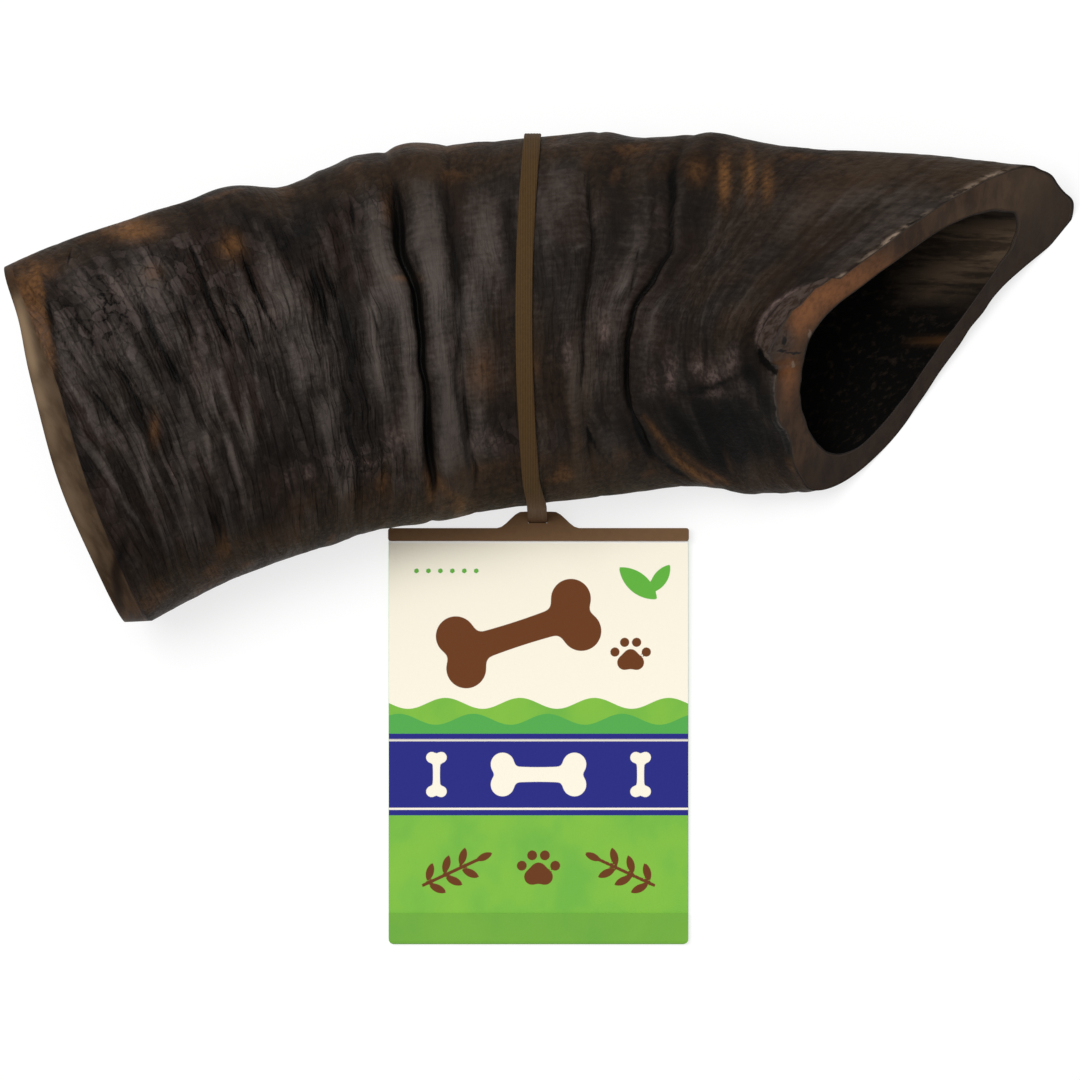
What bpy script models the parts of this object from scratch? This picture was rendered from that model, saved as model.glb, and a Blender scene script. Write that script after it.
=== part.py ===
"""Goat horn dog chew: a sawn section of horn sheath with an elastic strap and a card tag.

The horn lies on its flatter side. +X runs from the base cut to the mouth, +Y to the keel, +Z up.
Lengths are millimetres up to the last step, where MM turns them into metres.
"""
import math

import bmesh
import bpy
import numpy as np
from mathutils import Vector
from mathutils.geometry import convex_hull_2d

MM = 0.001

# Horn sheath: half its depth from the side it rests on to the side that faces up
HALF_DEPTH = 22.4
# Sections of the horn, as sheared planes: place along the horn, height of the centre in Y, half height,
# height of the centre in Z, lean in X per Y, lag in X per Z, the same two for the growth lines,
# and the share of the mouth's outline
SECTIONS = (
    (-94.6, 17.9, 37.1, 21.9, -0.339, -0.09, -0.55, 0.10, 0.0),
    (-73.0, 27.4, 36.3, 22.0, -0.287, -0.04, -0.40, 0.13, 0.0),
    (-52.8, 33.9, 36.4, 22.0, -0.225, 0.05, -0.28, 0.18, 0.0),
    (-36.0, 38.1, 36.2, 22.2, -0.171, 0.11, -0.20, 0.18, 0.05),
    (-27.4, 39.7, 36.8, 22.9, -0.152, 0.13, -0.152, 0.13, 0.10),
    (-15.2, 41.8, 36.9, 23.6, -0.081, 0.0, -0.081, 0.0, 0.16),
    (-2.2, 43.3, 36.6, 24.0, -0.055, -0.06, -0.055, -0.06, 0.24),
    (10.8, 44.5, 36.2, 23.6, -0.039, -0.17, -0.039, -0.17, 0.36),
    (24.7, 45.3, 35.0, 22.9, -0.02, -0.445, -0.02, -0.445, 0.60),
    (40.8, 43.8, 34.7, 22.3, 0.20, -0.60, 0.20, -0.60, 0.80),
    (54.8, 42.8, 33.7, 22.2, 0.50, -0.73, 0.50, -0.73, 0.95),
    (69.0, 42.1, 32.4, 22.5, 0.814, -0.878, 0.814, -0.878, 1.0),
)
# Outlines as shares of the half height and the half depth, from the upper side over the keel and round
BASE_OUTLINE = (
    (0.05, 1.0), (0.45, 0.90), (0.80, 0.58), (0.985, 0.14), (0.93, -0.42), (0.66, -0.80), (0.25, -0.985),
    (-0.22, -0.99), (-0.64, -0.82), (-0.92, -0.44), (-0.985, 0.10), (-0.80, 0.60), (-0.42, 0.91),
)
MOUTH_OUTLINE = (
    (0.06, 1.02), (0.40, 0.80), (0.76, 0.44), (0.99, -0.06), (0.87, -0.64), (0.64, -1.03), (0.24, -0.86),
    (-0.22, -0.92), (-0.66, -1.0), (-0.94, -0.86), (-0.98, -0.50), (-0.66, 0.13), (-0.28, 0.76),
)

# Bore: at the base it follows the skin's outline at these shares of it, at the mouth it has its own
BORE_RISE_AT_BASE = 0.85
BORE_NEAR_AT_BASE = 0.80
BORE_OUTLINE_AT_MOUTH = (
    (0.03, 0.72), (0.33, 0.52), (0.58, 0.27), (0.70, 0.0), (0.70, -0.36), (0.52, -0.58), (0.20, -0.66),
    (-0.15, -0.71), (-0.50, -0.77), (-0.73, -0.70), (-0.76, -0.42), (-0.56, 0.08), (-0.24, 0.55),
)

# Sanded edge at the base cut: its length along the horn, its depth, and its depth at the keel
BASE_EDGE_LENGTH = 5.0
BASE_EDGE_DEPTH = 2.2
BASE_EDGE_DEPTH_AT_KEEL = 0.5

# Growth rings: place along the horn, depth or height, half width
FINE_GROOVE_FIRST = -90.0
FINE_GROOVE_STEP = 5.3
FINE_GROOVE_COUNT = 8
FINE_GROOVE = (0.9, 1.5)
MAIN_GROOVES = (
    (-45.0, 0.9, 2.4), (-39.2, 0.5, 1.5), (-33.8, 0.4, 1.5), (-26.6, 1.9, 1.9), (-16.0, 1.0, 1.8),
    (-6.6, 0.5, 2.2), (11.2, 1.1, 1.6), (17.8, 0.4, 1.5), (24.7, 1.8, 1.8), (29.8, 0.4, 1.4),
    (37.0, 0.3, 1.6), (45.0, 0.3, 1.8), (53.0, 0.25, 1.8), (61.0, 0.25, 1.8),
)
CRESTS = (
    (-50.0, 0.4, 3.0), (-30.6, 0.8, 2.8), (-21.0, 0.6, 3.2), (8.0, 0.4, 2.4), (20.6, 0.6, 2.6),
)
# Drift of the rings towards the mouth round the bend: height from the horn's centre, and how far
BEND_DRIFT = (
    (-25.0, -2.0), (-20.0, -2.8), (-16.0, -2.0), (-12.0, -0.2), (-8.0, 1.8), (-4.0, 4.0), (0.0, 4.9),
    (6.0, 7.9), (13.0, 9.1), (20.0, 7.5), (25.0, 7.0), (32.0, 6.0),
)
# Places along the horn where the drift starts, is whole, starts to fade and has faded
BEND_DRIFT_PLACES = (-2.0, 24.7, 27.0, 50.0)
# The drift is on the upper side: depths from the centre where it starts and is whole; steps to settle it
BEND_DRIFT_DEPTHS = (-14.0, -2.0)
BEND_DRIFT_STEPS = 12
# Share of the rings lost, and where the loss starts and ends, towards the keel and the lower edge
RINGS_LOST_AT_KEEL = (0.8, 0.72, 0.95)
RINGS_LOST_AT_LOW_EDGE = (0.85, 0.75, 0.95)
# Swellings of the keel: place along the horn, height, half width
KEEL_SWELLS = (
    (-52.0, 0.6, 4.0), (-43.5, -1.6, 5.0), (-31.5, 0.8, 3.0), (-22.5, 1.4, 5.5), (13.0, 0.5, 4.0), (32.0, 1.6, 5.0),
    (57.0, 0.6, 10.0),
)

# Lump on the mouth's rim, on the upper side: place, height and radius
RIM_LUMP = (47.0, 41.0)
RIM_LUMP_HEIGHT = 2.0
RIM_LUMP_RADIUS = 5.0

COLUMNS_AROUND = 44
# Rows along the skin: where a stretch ends and how many rows it has
SKIN_STRETCHES = ((-36.0, 34), (38.0, 47), (69.0, 12))
BORE_ROWS = 10

# Elastic strap
STRAP_WIDTH = 3.4
STRAP_THICKNESS = 0.7
STRAP_GAP = 0.35
STRAP_X_AT_EDGES = -1.5
STRAP_BOW = 1.9
STRAP_MIDDLE_Y = 44.0
STRAP_HALF_SPAN = 38.0
# Near the header the strap runs a little to the right: how far, from where in Y, and to where
STRAP_LOW_SHIFT = 0.8
STRAP_LOW_SHIFT_START = 12.0
STRAP_LOW_SHIFT_END = 5.0
STRAP_SAMPLES = 60
STRAP_SEARCH = (-30.0, 30.0)
STRAP_SEARCH_STEPS = 24
STRAP_CORNER_BEND = 0.4
STRAP_CORNER_STEPS = 4

# Header strip, folded over the card's top edge, with a hump that holds the strap's slot
HEADER_WIDTH = 60.4
HEADER_X = -0.5
HEADER_TOP_Y = 2.1
HEADER_HEIGHT = 2.6
HEADER_DEPTH = 2.6
HEADER_LEAF = 0.55
HEADER_CORNER = 0.5
HUMP_X = -0.6
HUMP_HEIGHT = 3.3
HUMP_HALF_TOP = 3.2
HUMP_HALF_FOOT = 8.2
HUMP_UNDERSIDE_Z = 1.55
HUMP_STEPS = 18
SLOT_Y = 3.76
SLOT_WIDTH = 3.8
SLOT_HEIGHT = 1.28
SLOT_SIDE_PLAY = 0.1

# Folded card
CARD_WIDTH = 60.2
CARD_FOOT_Y = -81.5
CARD_TOP_Y = 1.35
CARD_THICKNESS = 0.9
CARD_LIFT_AT_TOP = 0.87
FLAP_HEIGHT = 5.6
FLAP_THICKNESS = 0.35
CARD_CORNER = 1.0

PART_COLLECTION = "goat_horn_chew"
CUTTER_COLLECTION = "cutters"


def clear_scene():
    for item in list(bpy.data.objects):
        bpy.data.objects.remove(item, do_unlink=True)


def new_collection(name):
    collection = bpy.data.collections.new(name)
    bpy.context.scene.collection.children.link(collection)
    return collection


def new_material(name, colour, roughness):
    material = bpy.data.materials.new(name)
    material.use_nodes = True
    shader = material.node_tree.nodes["Principled BSDF"]
    shader.inputs["Base Color"].default_value = (*colour, 1.0)
    shader.inputs["Roughness"].default_value = roughness
    return material


def new_part(name, mesh, collection, material=None):
    part = bpy.data.objects.new(name, mesh)
    collection.objects.link(part)
    if material is not None:
        mesh.materials.append(material)
    return part


def mesh_from(bm, name):
    bmesh.ops.recalc_face_normals(bm, faces=bm.faces)
    bmesh.ops.scale(bm, vec=(MM, MM, MM), verts=bm.verts)
    mesh = bpy.data.meshes.new(name)
    bm.to_mesh(mesh)
    bm.free()
    return mesh


def ramp(value, start, end):
    share = min(max((value - start) / (end - start), 0.0), 1.0)
    return share * share * (3.0 - 2.0 * share)


def bell(distance, half_width):
    return math.exp(-((distance / half_width) ** 2))


PLACES = np.array([row[0] for row in SECTIONS])
VALUES = np.array([row[1:] for row in SECTIONS])
SLOPES = np.gradient(VALUES, PLACES, axis=0)


def section(along):
    """The table's values at a place along the horn, on a smooth curve through its rows."""
    row = min(max(int(np.searchsorted(PLACES, along)) - 1, 0), len(PLACES) - 2)
    span = PLACES[row + 1] - PLACES[row]
    t = (along - PLACES[row]) / span
    ahead = t * t * (3.0 - 2.0 * t)
    leave = t * (1.0 - t) ** 2 * span
    arrive = t * t * (t - 1.0) * span
    return (VALUES[row] * (1.0 - ahead) + VALUES[row + 1] * ahead
            + SLOPES[row] * leave + SLOPES[row + 1] * arrive)


def outline_point(outline, turn):
    """A point of a closed outline, on a Catmull-Rom curve through its points; turn is 0 to 1."""
    count = len(outline)
    step = (turn % 1.0) * count
    first = int(step)
    t = step - first
    before, start, end, after = (np.array(outline[(first + k) % count]) for k in (-1, 0, 1, 2))
    return 0.5 * (2.0 * start + (end - before) * t
                  + (2.0 * before - 5.0 * start + 4.0 * end - after) * t ** 2
                  + (3.0 * start - before - 3.0 * end + after) * t ** 3)


def bend_drift(growth, dy, dz):
    """How far the ring that lies at a growth line has drifted towards the mouth."""
    start, whole, fading, faded = BEND_DRIFT_PLACES
    heights, drifts = zip(*BEND_DRIFT)
    drift = float(np.interp(dy, heights, drifts)) * ramp(dz, *BEND_DRIFT_DEPTHS)
    ring = growth
    for _ in range(BEND_DRIFT_STEPS):
        ring = growth - drift * ramp(ring, start, whole) * (1.0 - ramp(ring, fading, faded))
    return growth - ring


def ring_relief(growth, rise, drift):
    """Height of the growth rings at a growth line; rise is the point's share of the half height."""
    height = 0.0
    ring = growth - drift
    fine_depth, fine_width = FINE_GROOVE
    for number in range(FINE_GROOVE_COUNT):
        place = FINE_GROOVE_FIRST + number * FINE_GROOVE_STEP
        height -= fine_depth * bell(ring - place, fine_width)
    for place, depth, half_width in MAIN_GROOVES:
        height -= depth * bell(ring - place, half_width)
    for place, crest, half_width in CRESTS:
        height += crest * bell(ring - place, half_width)
    keel_loss, keel_start, keel_end = RINGS_LOST_AT_KEEL
    low_loss, low_start, low_end = RINGS_LOST_AT_LOW_EDGE
    height *= 1.0 - keel_loss * ramp(rise, keel_start, keel_end) - low_loss * ramp(-rise, low_start, low_end)
    for place, swell, half_width in KEEL_SWELLS:
        height += swell * bell(growth - place, half_width) * ramp(rise, 0.5, 0.95)
    return height


def skin_point(along, turn, edge=0.0):
    """A point of the horn's outer skin; edge is the share of the base edge's depth taken off."""
    centre_y, half_height, centre_z, lean, lag, line_lean, line_lag, mouth = section(along)
    rise, near = (outline_point(BASE_OUTLINE, turn) * (1.0 - mouth)
                  + outline_point(MOUTH_OUTLINE, turn) * mouth)
    dy = rise * half_height
    dz = near * HALF_DEPTH
    growth = along + (lean - line_lean) * dy + (lag - line_lag) * dz
    height = ring_relief(growth, rise, bend_drift(growth, dy, dz))
    lump_distance = math.hypot(along + lean * dy + lag * dz - RIM_LUMP[0], centre_y + dy - RIM_LUMP[1])
    height += RIM_LUMP_HEIGHT * bell(lump_distance, RIM_LUMP_RADIUS) * ramp(near, 0.3, 0.7)
    depth_here = BASE_EDGE_DEPTH + (BASE_EDGE_DEPTH_AT_KEEL - BASE_EDGE_DEPTH) * ramp(rise, 0.55, 0.95)
    height -= depth_here * edge
    grow = 1.0 + height / math.hypot(dy, dz)
    y = centre_y + dy * grow
    z = max(centre_z + dz * grow, 0.0)
    return Vector((along + lean * (y - centre_y) + lag * (z - centre_z), y, z))


def bore_point(along, turn):
    centre_y, half_height, centre_z, lean, lag, _, _, mouth = section(along)
    rise, near = outline_point(BASE_OUTLINE, turn)
    mouth_rise, mouth_near = outline_point(BORE_OUTLINE_AT_MOUTH, turn)
    dy = (rise * BORE_RISE_AT_BASE * (1.0 - mouth) + mouth_rise * mouth) * half_height
    dz = (near * BORE_NEAR_AT_BASE * (1.0 - mouth) + mouth_near * mouth) * HALF_DEPTH
    return Vector((along + lean * dy + lag * dz, centre_y + dy, centre_z + dz))


def horn_rows():
    """Rows of the horn's closed wall: out along the skin, across the mouth, back along the bore."""
    base, mouth = PLACES[0], PLACES[-1]
    start = base + BASE_EDGE_LENGTH
    rows = [("skin", base, 1.0), ("skin", start, 0.0)]
    for end, count in SKIN_STRETCHES:
        rows.extend(("skin", place, 0.0) for place in np.linspace(start, end, count + 1)[1:])
        start = end
    for k in range(BORE_ROWS):
        rows.append(("bore", mouth + (base - mouth) * k / (BORE_ROWS - 1), 0.0))
    return rows


def make_horn(collection, material):
    rows = horn_rows()
    bm = bmesh.new()
    bmesh.ops.create_grid(bm, x_segments=COLUMNS_AROUND, y_segments=len(rows), size=1.0)
    for vert in bm.verts:
        turn = (vert.co.x + 1.0) / 2.0
        row = round((vert.co.y + 1.0) / 2.0 * len(rows)) % len(rows)
        layer, along, edge = rows[row]
        vert.co = skin_point(along, turn, edge) if layer == "skin" else bore_point(along, turn)
    bmesh.ops.remove_doubles(bm, verts=bm.verts, dist=0.01)
    horn = new_part("horn", mesh_from(bm, "horn"), collection, material)
    horn.data.shade_smooth()


def strap_x(y):
    """The strap bows a little towards the base over the middle of the horn."""
    share = min(abs(y - STRAP_MIDDLE_Y) / STRAP_HALF_SPAN, 1.0)
    shift = STRAP_LOW_SHIFT * ramp(y, STRAP_LOW_SHIFT_START, STRAP_LOW_SHIFT_END)
    return STRAP_X_AT_EDGES - STRAP_BOW * (1.0 - share * share) + shift


def skin_under_strap(turn):
    """The skin's point in the strap's plane, found by halving the stretch of horn that holds it."""
    low, high = STRAP_SEARCH
    for _ in range(STRAP_SEARCH_STEPS):
        middle = (low + high) / 2.0
        point = skin_point(middle, turn)
        if point.x < strap_x(point.y):
            low = middle
        else:
            high = middle
    return point


def strap_route():
    """The strap's middle line in Y and Z: taut round the horn and round the bridge beside the slot."""
    around = [skin_under_strap(k / STRAP_SAMPLES) for k in range(STRAP_SAMPLES)]
    flat = [Vector((point.y, point.z)) for point in around]
    flat.append(Vector((SLOT_Y + SLOT_HEIGHT / 2.0 - SLOT_SIDE_PLAY, HUMP_UNDERSIDE_Z)))
    hull = [flat[k] for k in convex_hull_2d(flat)]
    if sum(a.cross(b) for a, b in zip(hull, hull[1:] + hull[:1])) < 0.0:
        hull.reverse()
    reach = STRAP_GAP + STRAP_THICKNESS / 2.0
    route = []
    for k, point in enumerate(hull):
        into = point - hull[k - 1]
        out = hull[(k + 1) % len(hull)] - point
        start = math.atan2(-into.x, into.y)
        bend = (math.atan2(-out.x, out.y) - start) % (2.0 * math.pi)
        steps = STRAP_CORNER_STEPS if bend > STRAP_CORNER_BEND else 0
        for j in range(steps + 1):
            angle = start + bend * (j / steps if steps else 0.5)
            outward = Vector((math.cos(angle), math.sin(angle)))
            route.append((point + outward * reach, outward))
    return route


def make_strap(collection, material):
    route = strap_route()
    corners = ((-1, -1), (1, -1), (1, 1), (-1, 1))
    bm = bmesh.new()
    bmesh.ops.create_grid(bm, x_segments=len(corners), y_segments=len(route), size=1.0)
    for vert in bm.verts:
        side, face = corners[round((vert.co.x + 1.0) / 2.0 * len(corners)) % len(corners)]
        middle, outward = route[round((vert.co.y + 1.0) / 2.0 * len(route)) % len(route)]
        y, z = middle + outward * (face * STRAP_THICKNESS / 2.0)
        vert.co = (strap_x(middle.x) + side * STRAP_WIDTH / 2.0, y, z)
    bmesh.ops.remove_doubles(bm, verts=bm.verts, dist=0.01)
    new_part("strap", mesh_from(bm, "strap"), collection, material)


def prism(points, direction):
    """A closed solid: the flat face through the points, pushed along a direction."""
    bm = bmesh.new()
    face = bm.faces.new([bm.verts.new(point) for point in points])
    pushed = bmesh.ops.extrude_face_region(bm, geom=[face])["geom"]
    moved = [item for item in pushed if isinstance(item, bmesh.types.BMVert)]
    bmesh.ops.translate(bm, vec=direction, verts=moved)
    bmesh.ops.recalc_face_normals(bm, faces=bm.faces)
    return bm


def round_upright_edges(bm, low_y, high_y, radius):
    """Rounds the edges that stand upright at the given heights in Y."""
    upright = []
    for edge in bm.edges:
        a, b = (vert.co for vert in edge.verts)
        if abs(a.z - b.z) > 0.1 and (a.xy - b.xy).length < 0.01 and (a.y < low_y or a.y > high_y):
            upright.append(edge)
    bmesh.ops.bevel(bm, geom=upright, offset=radius, offset_type="OFFSET", affect="EDGES",
                    segments=3, profile=0.5, material=-1)


def make_header(collection, cutters, material):
    left = HEADER_X - HEADER_WIDTH / 2.0
    foot_y = HEADER_TOP_Y - HEADER_HEIGHT
    spine_y = HEADER_TOP_Y - HEADER_LEAF
    front_z = HEADER_DEPTH - HEADER_LEAF
    profile = ((foot_y, 0.0), (HEADER_TOP_Y, 0.0), (HEADER_TOP_Y, HEADER_DEPTH), (foot_y, HEADER_DEPTH),
               (foot_y, front_z), (spine_y, front_z), (spine_y, HEADER_LEAF), (foot_y, HEADER_LEAF))
    bar = prism([(left, y, z) for y, z in profile], (HEADER_WIDTH, 0.0, 0.0))
    round_upright_edges(bar, foot_y + 0.01, HEADER_TOP_Y - 0.01, HEADER_CORNER)
    header = new_part("header_strip", mesh_from(bar, "header_strip"), collection, material)

    points = []
    for k in range(HUMP_STEPS + 1):
        across = HUMP_HALF_FOOT * (1.0 - 2.0 * k / HUMP_STEPS)
        height = HUMP_HEIGHT * (1.0 - ramp(abs(across), HUMP_HALF_TOP, HUMP_HALF_FOOT))
        points.append((HUMP_X + across, HEADER_TOP_Y + height, HUMP_UNDERSIDE_Z))
    sunk_y = HEADER_TOP_Y - HEADER_LEAF / 2.0
    points.append((HUMP_X - HUMP_HALF_FOOT, sunk_y, HUMP_UNDERSIDE_Z))
    points.append((HUMP_X + HUMP_HALF_FOOT, sunk_y, HUMP_UNDERSIDE_Z))
    hump_bm = prism(points, (0.0, 0.0, HEADER_DEPTH - HUMP_UNDERSIDE_Z))
    hump = new_part("hump", mesh_from(hump_bm, "hump"), cutters)

    bm = bmesh.new()
    bmesh.ops.create_cube(bm, size=1.0)
    bmesh.ops.scale(bm, vec=(SLOT_WIDTH, SLOT_HEIGHT, 2.0 * HEADER_DEPTH), verts=bm.verts)
    bmesh.ops.translate(bm, vec=(strap_x(SLOT_Y), SLOT_Y, HEADER_DEPTH), verts=bm.verts)
    slot = new_part("slot", mesh_from(bm, "slot"), cutters)

    for tool, operation in ((hump, "UNION"), (slot, "DIFFERENCE")):
        tool.hide_render = True
        tool.display_type = "WIRE"
        modifier = header.modifiers.new(tool.name, "BOOLEAN")
        modifier.operation = operation
        modifier.object = tool


def make_card(collection, material):
    """The folded card: it leans from the header down to the surface, its front leaf tucked in a flap."""
    slope = CARD_LIFT_AT_TOP / (CARD_TOP_Y - CARD_FOOT_Y)
    flap_y = CARD_FOOT_Y + FLAP_HEIGHT
    flap_lift = slope * FLAP_HEIGHT
    profile = ((CARD_TOP_Y, CARD_LIFT_AT_TOP), (CARD_TOP_Y, CARD_LIFT_AT_TOP + CARD_THICKNESS),
               (flap_y, flap_lift + CARD_THICKNESS), (flap_y, flap_lift + CARD_THICKNESS + FLAP_THICKNESS),
               (CARD_FOOT_Y, CARD_THICKNESS + FLAP_THICKNESS), (CARD_FOOT_Y, 0.0))
    left = HEADER_X - CARD_WIDTH / 2.0
    bm = prism([(left, y, z) for y, z in profile], (CARD_WIDTH, 0.0, 0.0))
    round_upright_edges(bm, CARD_FOOT_Y + 0.01, CARD_TOP_Y + 1.0, CARD_CORNER)
    new_part("card", mesh_from(bm, "card"), collection, material)


def build():
    clear_scene()
    parts = new_collection(PART_COLLECTION)
    cutters = new_collection(CUTTER_COLLECTION)
    horn_brown = new_material("horn_brown", (0.028, 0.021, 0.018), 0.5)
    strap_brown = new_material("strap_brown", (0.070, 0.037, 0.013), 0.7)
    header_brown = new_material("header_brown", (0.066, 0.034, 0.014), 0.5)
    card_print = new_material("card_print", (0.87, 0.80, 0.62), 0.6)
    make_horn(parts, horn_brown)
    make_strap(parts, strap_brown)
    make_header(parts, cutters, header_brown)
    make_card(parts, card_print)


build()
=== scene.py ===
import math

import bmesh
import bpy
import numpy as np
from mathutils import Matrix, Vector
from mathutils.geometry import convex_hull_2d


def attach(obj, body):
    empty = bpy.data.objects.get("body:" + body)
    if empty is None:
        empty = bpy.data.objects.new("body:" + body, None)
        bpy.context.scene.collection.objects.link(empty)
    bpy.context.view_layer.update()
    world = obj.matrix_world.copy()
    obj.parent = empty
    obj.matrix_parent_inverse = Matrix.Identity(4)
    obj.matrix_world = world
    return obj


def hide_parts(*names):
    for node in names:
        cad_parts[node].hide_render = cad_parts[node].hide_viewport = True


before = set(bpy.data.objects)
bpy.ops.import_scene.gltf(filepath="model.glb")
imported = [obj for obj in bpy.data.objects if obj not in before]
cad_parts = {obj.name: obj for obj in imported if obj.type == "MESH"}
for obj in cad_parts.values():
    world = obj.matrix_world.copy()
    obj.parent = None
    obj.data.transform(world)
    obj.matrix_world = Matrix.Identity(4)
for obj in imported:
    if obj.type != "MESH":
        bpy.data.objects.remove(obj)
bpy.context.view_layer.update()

# A goat horn dog chew: a sawn piece of ringed horn, an elastic strap round it and a folded card tag.
# Lengths are millimetres up to the meshes, where MM turns them into metres.
MM = 0.001

# Camera: straight above, far off, on the middle of the 216 mm square that the photograph shows
VIEW_WIDTH = 216.0
VIEW_CENTRE = (-0.2, -0.3)
VIEW_LEVEL = 14.0
CAMERA_HEIGHT = 3000.0
SENSOR = 36.0
FARTHEST_SEEN = 20000.0

# Light, in metres and watts: one soft lamp, an even sky, and a floor that glows a little so that it is pale
KEY_PLACE = (-0.60, 0.40, 1.85)
KEY_AIM = (0.0, 0.0, 0.02)
KEY_SIZE = 1.0
KEY_POWER = 28.0
SKY_STRENGTH = 0.45
FLOOR_SIZE = 6.0
FLOOR_GREY = 0.30
FLOOR_GLOW = 0.72
# The floor lies this far below the part, so that no flat of the part is in its plane
FLOOR_GAP = 0.05

# Horn: half its depth, and its sections as sheared planes: place along the horn, height of the centre
# in Y, half height, height of the centre in Z, lean in X per Y, lag in X per Z, the same two for the
# growth lines, and the share of the mouth's outline
HALF_DEPTH = 22.4
SECTIONS = (
    (-94.6, 17.9, 37.1, 21.9, -0.339, -0.09, -0.55, 0.10, 0.0),
    (-73.0, 27.4, 36.3, 22.0, -0.287, -0.04, -0.40, 0.13, 0.0),
    (-52.8, 33.9, 36.4, 22.0, -0.225, 0.05, -0.28, 0.18, 0.0),
    (-36.0, 38.1, 36.2, 22.2, -0.171, 0.11, -0.20, 0.18, 0.05),
    (-27.4, 39.7, 36.8, 22.9, -0.152, 0.13, -0.152, 0.13, 0.10),
    (-15.2, 41.8, 36.9, 23.6, -0.081, 0.0, -0.081, 0.0, 0.16),
    (-2.2, 43.3, 36.6, 24.0, -0.055, -0.06, -0.055, -0.06, 0.24),
    (10.8, 44.5, 36.2, 23.6, -0.039, -0.17, -0.039, -0.17, 0.36),
    (24.7, 45.3, 35.0, 22.9, -0.02, -0.445, -0.02, -0.445, 0.60),
    (40.8, 43.8, 34.7, 22.3, 0.20, -0.60, 0.20, -0.60, 0.80),
    (54.8, 42.8, 33.7, 22.2, 0.50, -0.73, 0.50, -0.73, 0.95),
    (69.0, 42.1, 32.4, 22.5, 0.814, -0.878, 0.814, -0.878, 1.0),
)
# Outlines as shares of the half height and half depth, from the upper side over the keel and round
BASE_OUTLINE = (
    (0.05, 1.0), (0.45, 0.90), (0.80, 0.58), (0.985, 0.14), (0.93, -0.42), (0.66, -0.80), (0.25, -0.985),
    (-0.22, -0.99), (-0.64, -0.82), (-0.92, -0.44), (-0.985, 0.10), (-0.80, 0.60), (-0.42, 0.91),
)
MOUTH_OUTLINE = (
    (0.06, 1.02), (0.40, 0.80), (0.76, 0.44), (0.99, -0.06), (0.87, -0.64), (0.64, -1.03), (0.24, -0.86),
    (-0.22, -0.92), (-0.66, -1.0), (-0.94, -0.86), (-0.98, -0.50), (-0.66, 0.13), (-0.28, 0.76),
)
BORE_OUTLINE_AT_MOUTH = (
    (0.03, 0.72), (0.33, 0.52), (0.58, 0.27), (0.70, 0.0), (0.70, -0.36), (0.52, -0.58), (0.20, -0.66),
    (-0.15, -0.71), (-0.50, -0.77), (-0.73, -0.70), (-0.76, -0.42), (-0.56, 0.08), (-0.24, 0.55),
)
BORE_RISE_AT_BASE = 0.85
BORE_NEAR_AT_BASE = 0.80

# Sanded edge at the base cut: its length along the horn, its depth, and its depth at the keel
BASE_EDGE_LENGTH = 5.0
BASE_EDGE_DEPTH = 2.2
BASE_EDGE_DEPTH_AT_KEEL = 0.5

# The base cut isn't quite flat: how far it bows out, where in Y, over what half width, and its reach
BASE_BOWS = ((1.5, 11.0, 16.0), (-0.8, 44.0, 7.0))
BASE_BOW_REACH = 10.0

# Growth rings: place along the horn, depth or height, half width; the grooves also get painted shade, the
# crests a painted highlight
MAIN_GROOVES = (
    (-45.0, 0.9, 2.4), (-39.2, 0.5, 1.5), (-33.8, 0.4, 1.5), (-26.6, 2.1, 1.5), (-16.0, 1.0, 1.1),
    (-6.6, 0.5, 2.2), (11.2, 1.0, 0.9), (17.8, 0.4, 1.0), (24.7, 1.7, 1.2), (29.8, 0.4, 1.2),
    (37.0, 0.3, 1.6), (45.0, 0.3, 1.8), (53.0, 0.25, 1.8), (61.0, 0.25, 1.8),
)
CRESTS = (
    (-50.0, 0.4, 3.0), (-37.0, 0.5, 1.0), (-30.6, 0.6, 2.4), (-21.0, 0.8, 3.4), (8.0, 0.3, 2.4),
    (20.6, 0.2, 2.0),
)
# Bends in the lines: place along the horn, half width, height from the centre, half height, shift
LINE_BENDS = (
    (-26.6, 9.0, -28.0, 11.0, 1.5), (-26.6, 9.0, 20.0, 7.0, 1.0), (-26.6, 9.0, 9.0, 6.0, -0.9),
    (-16.0, 5.0, 3.0, 5.0, 1.0),
)
# Drift of the lines towards the mouth round the bend: height from the horn's centre, and how far; then the
# places along the horn where the drift starts, is whole, starts to fade and has faded
BEND_DRIFT = (
    (-25.0, -2.0), (-20.0, -2.8), (-16.0, -2.0), (-12.0, -0.2), (-8.0, 1.8), (-4.0, 4.0), (0.0, 4.9),
    (6.0, 7.9), (13.0, 9.1), (20.0, 7.5), (25.0, 7.0), (32.0, 6.0),
)
BEND_DRIFT_PLACES = (-2.0, 24.7, 27.0, 50.0)
# The drift is on the upper side: depths from the centre where it starts and is whole; steps to settle it
BEND_DRIFT_DEPTHS = (-14.0, -2.0)
BEND_DRIFT_STEPS = 12
# Swellings of the keel: place along the horn, height, half width
KEEL_SWELLS = (
    (-52.0, 0.6, 4.0), (-43.5, -1.6, 5.0), (-31.5, 0.8, 3.0), (-22.5, 1.4, 5.5), (13.0, 0.5, 4.0),
    (32.0, 1.6, 5.0), (57.0, 0.6, 10.0),
)

# A crease or a streak has its full width from this far inside its ends
STREAK_TAPER = 4.0
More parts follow.
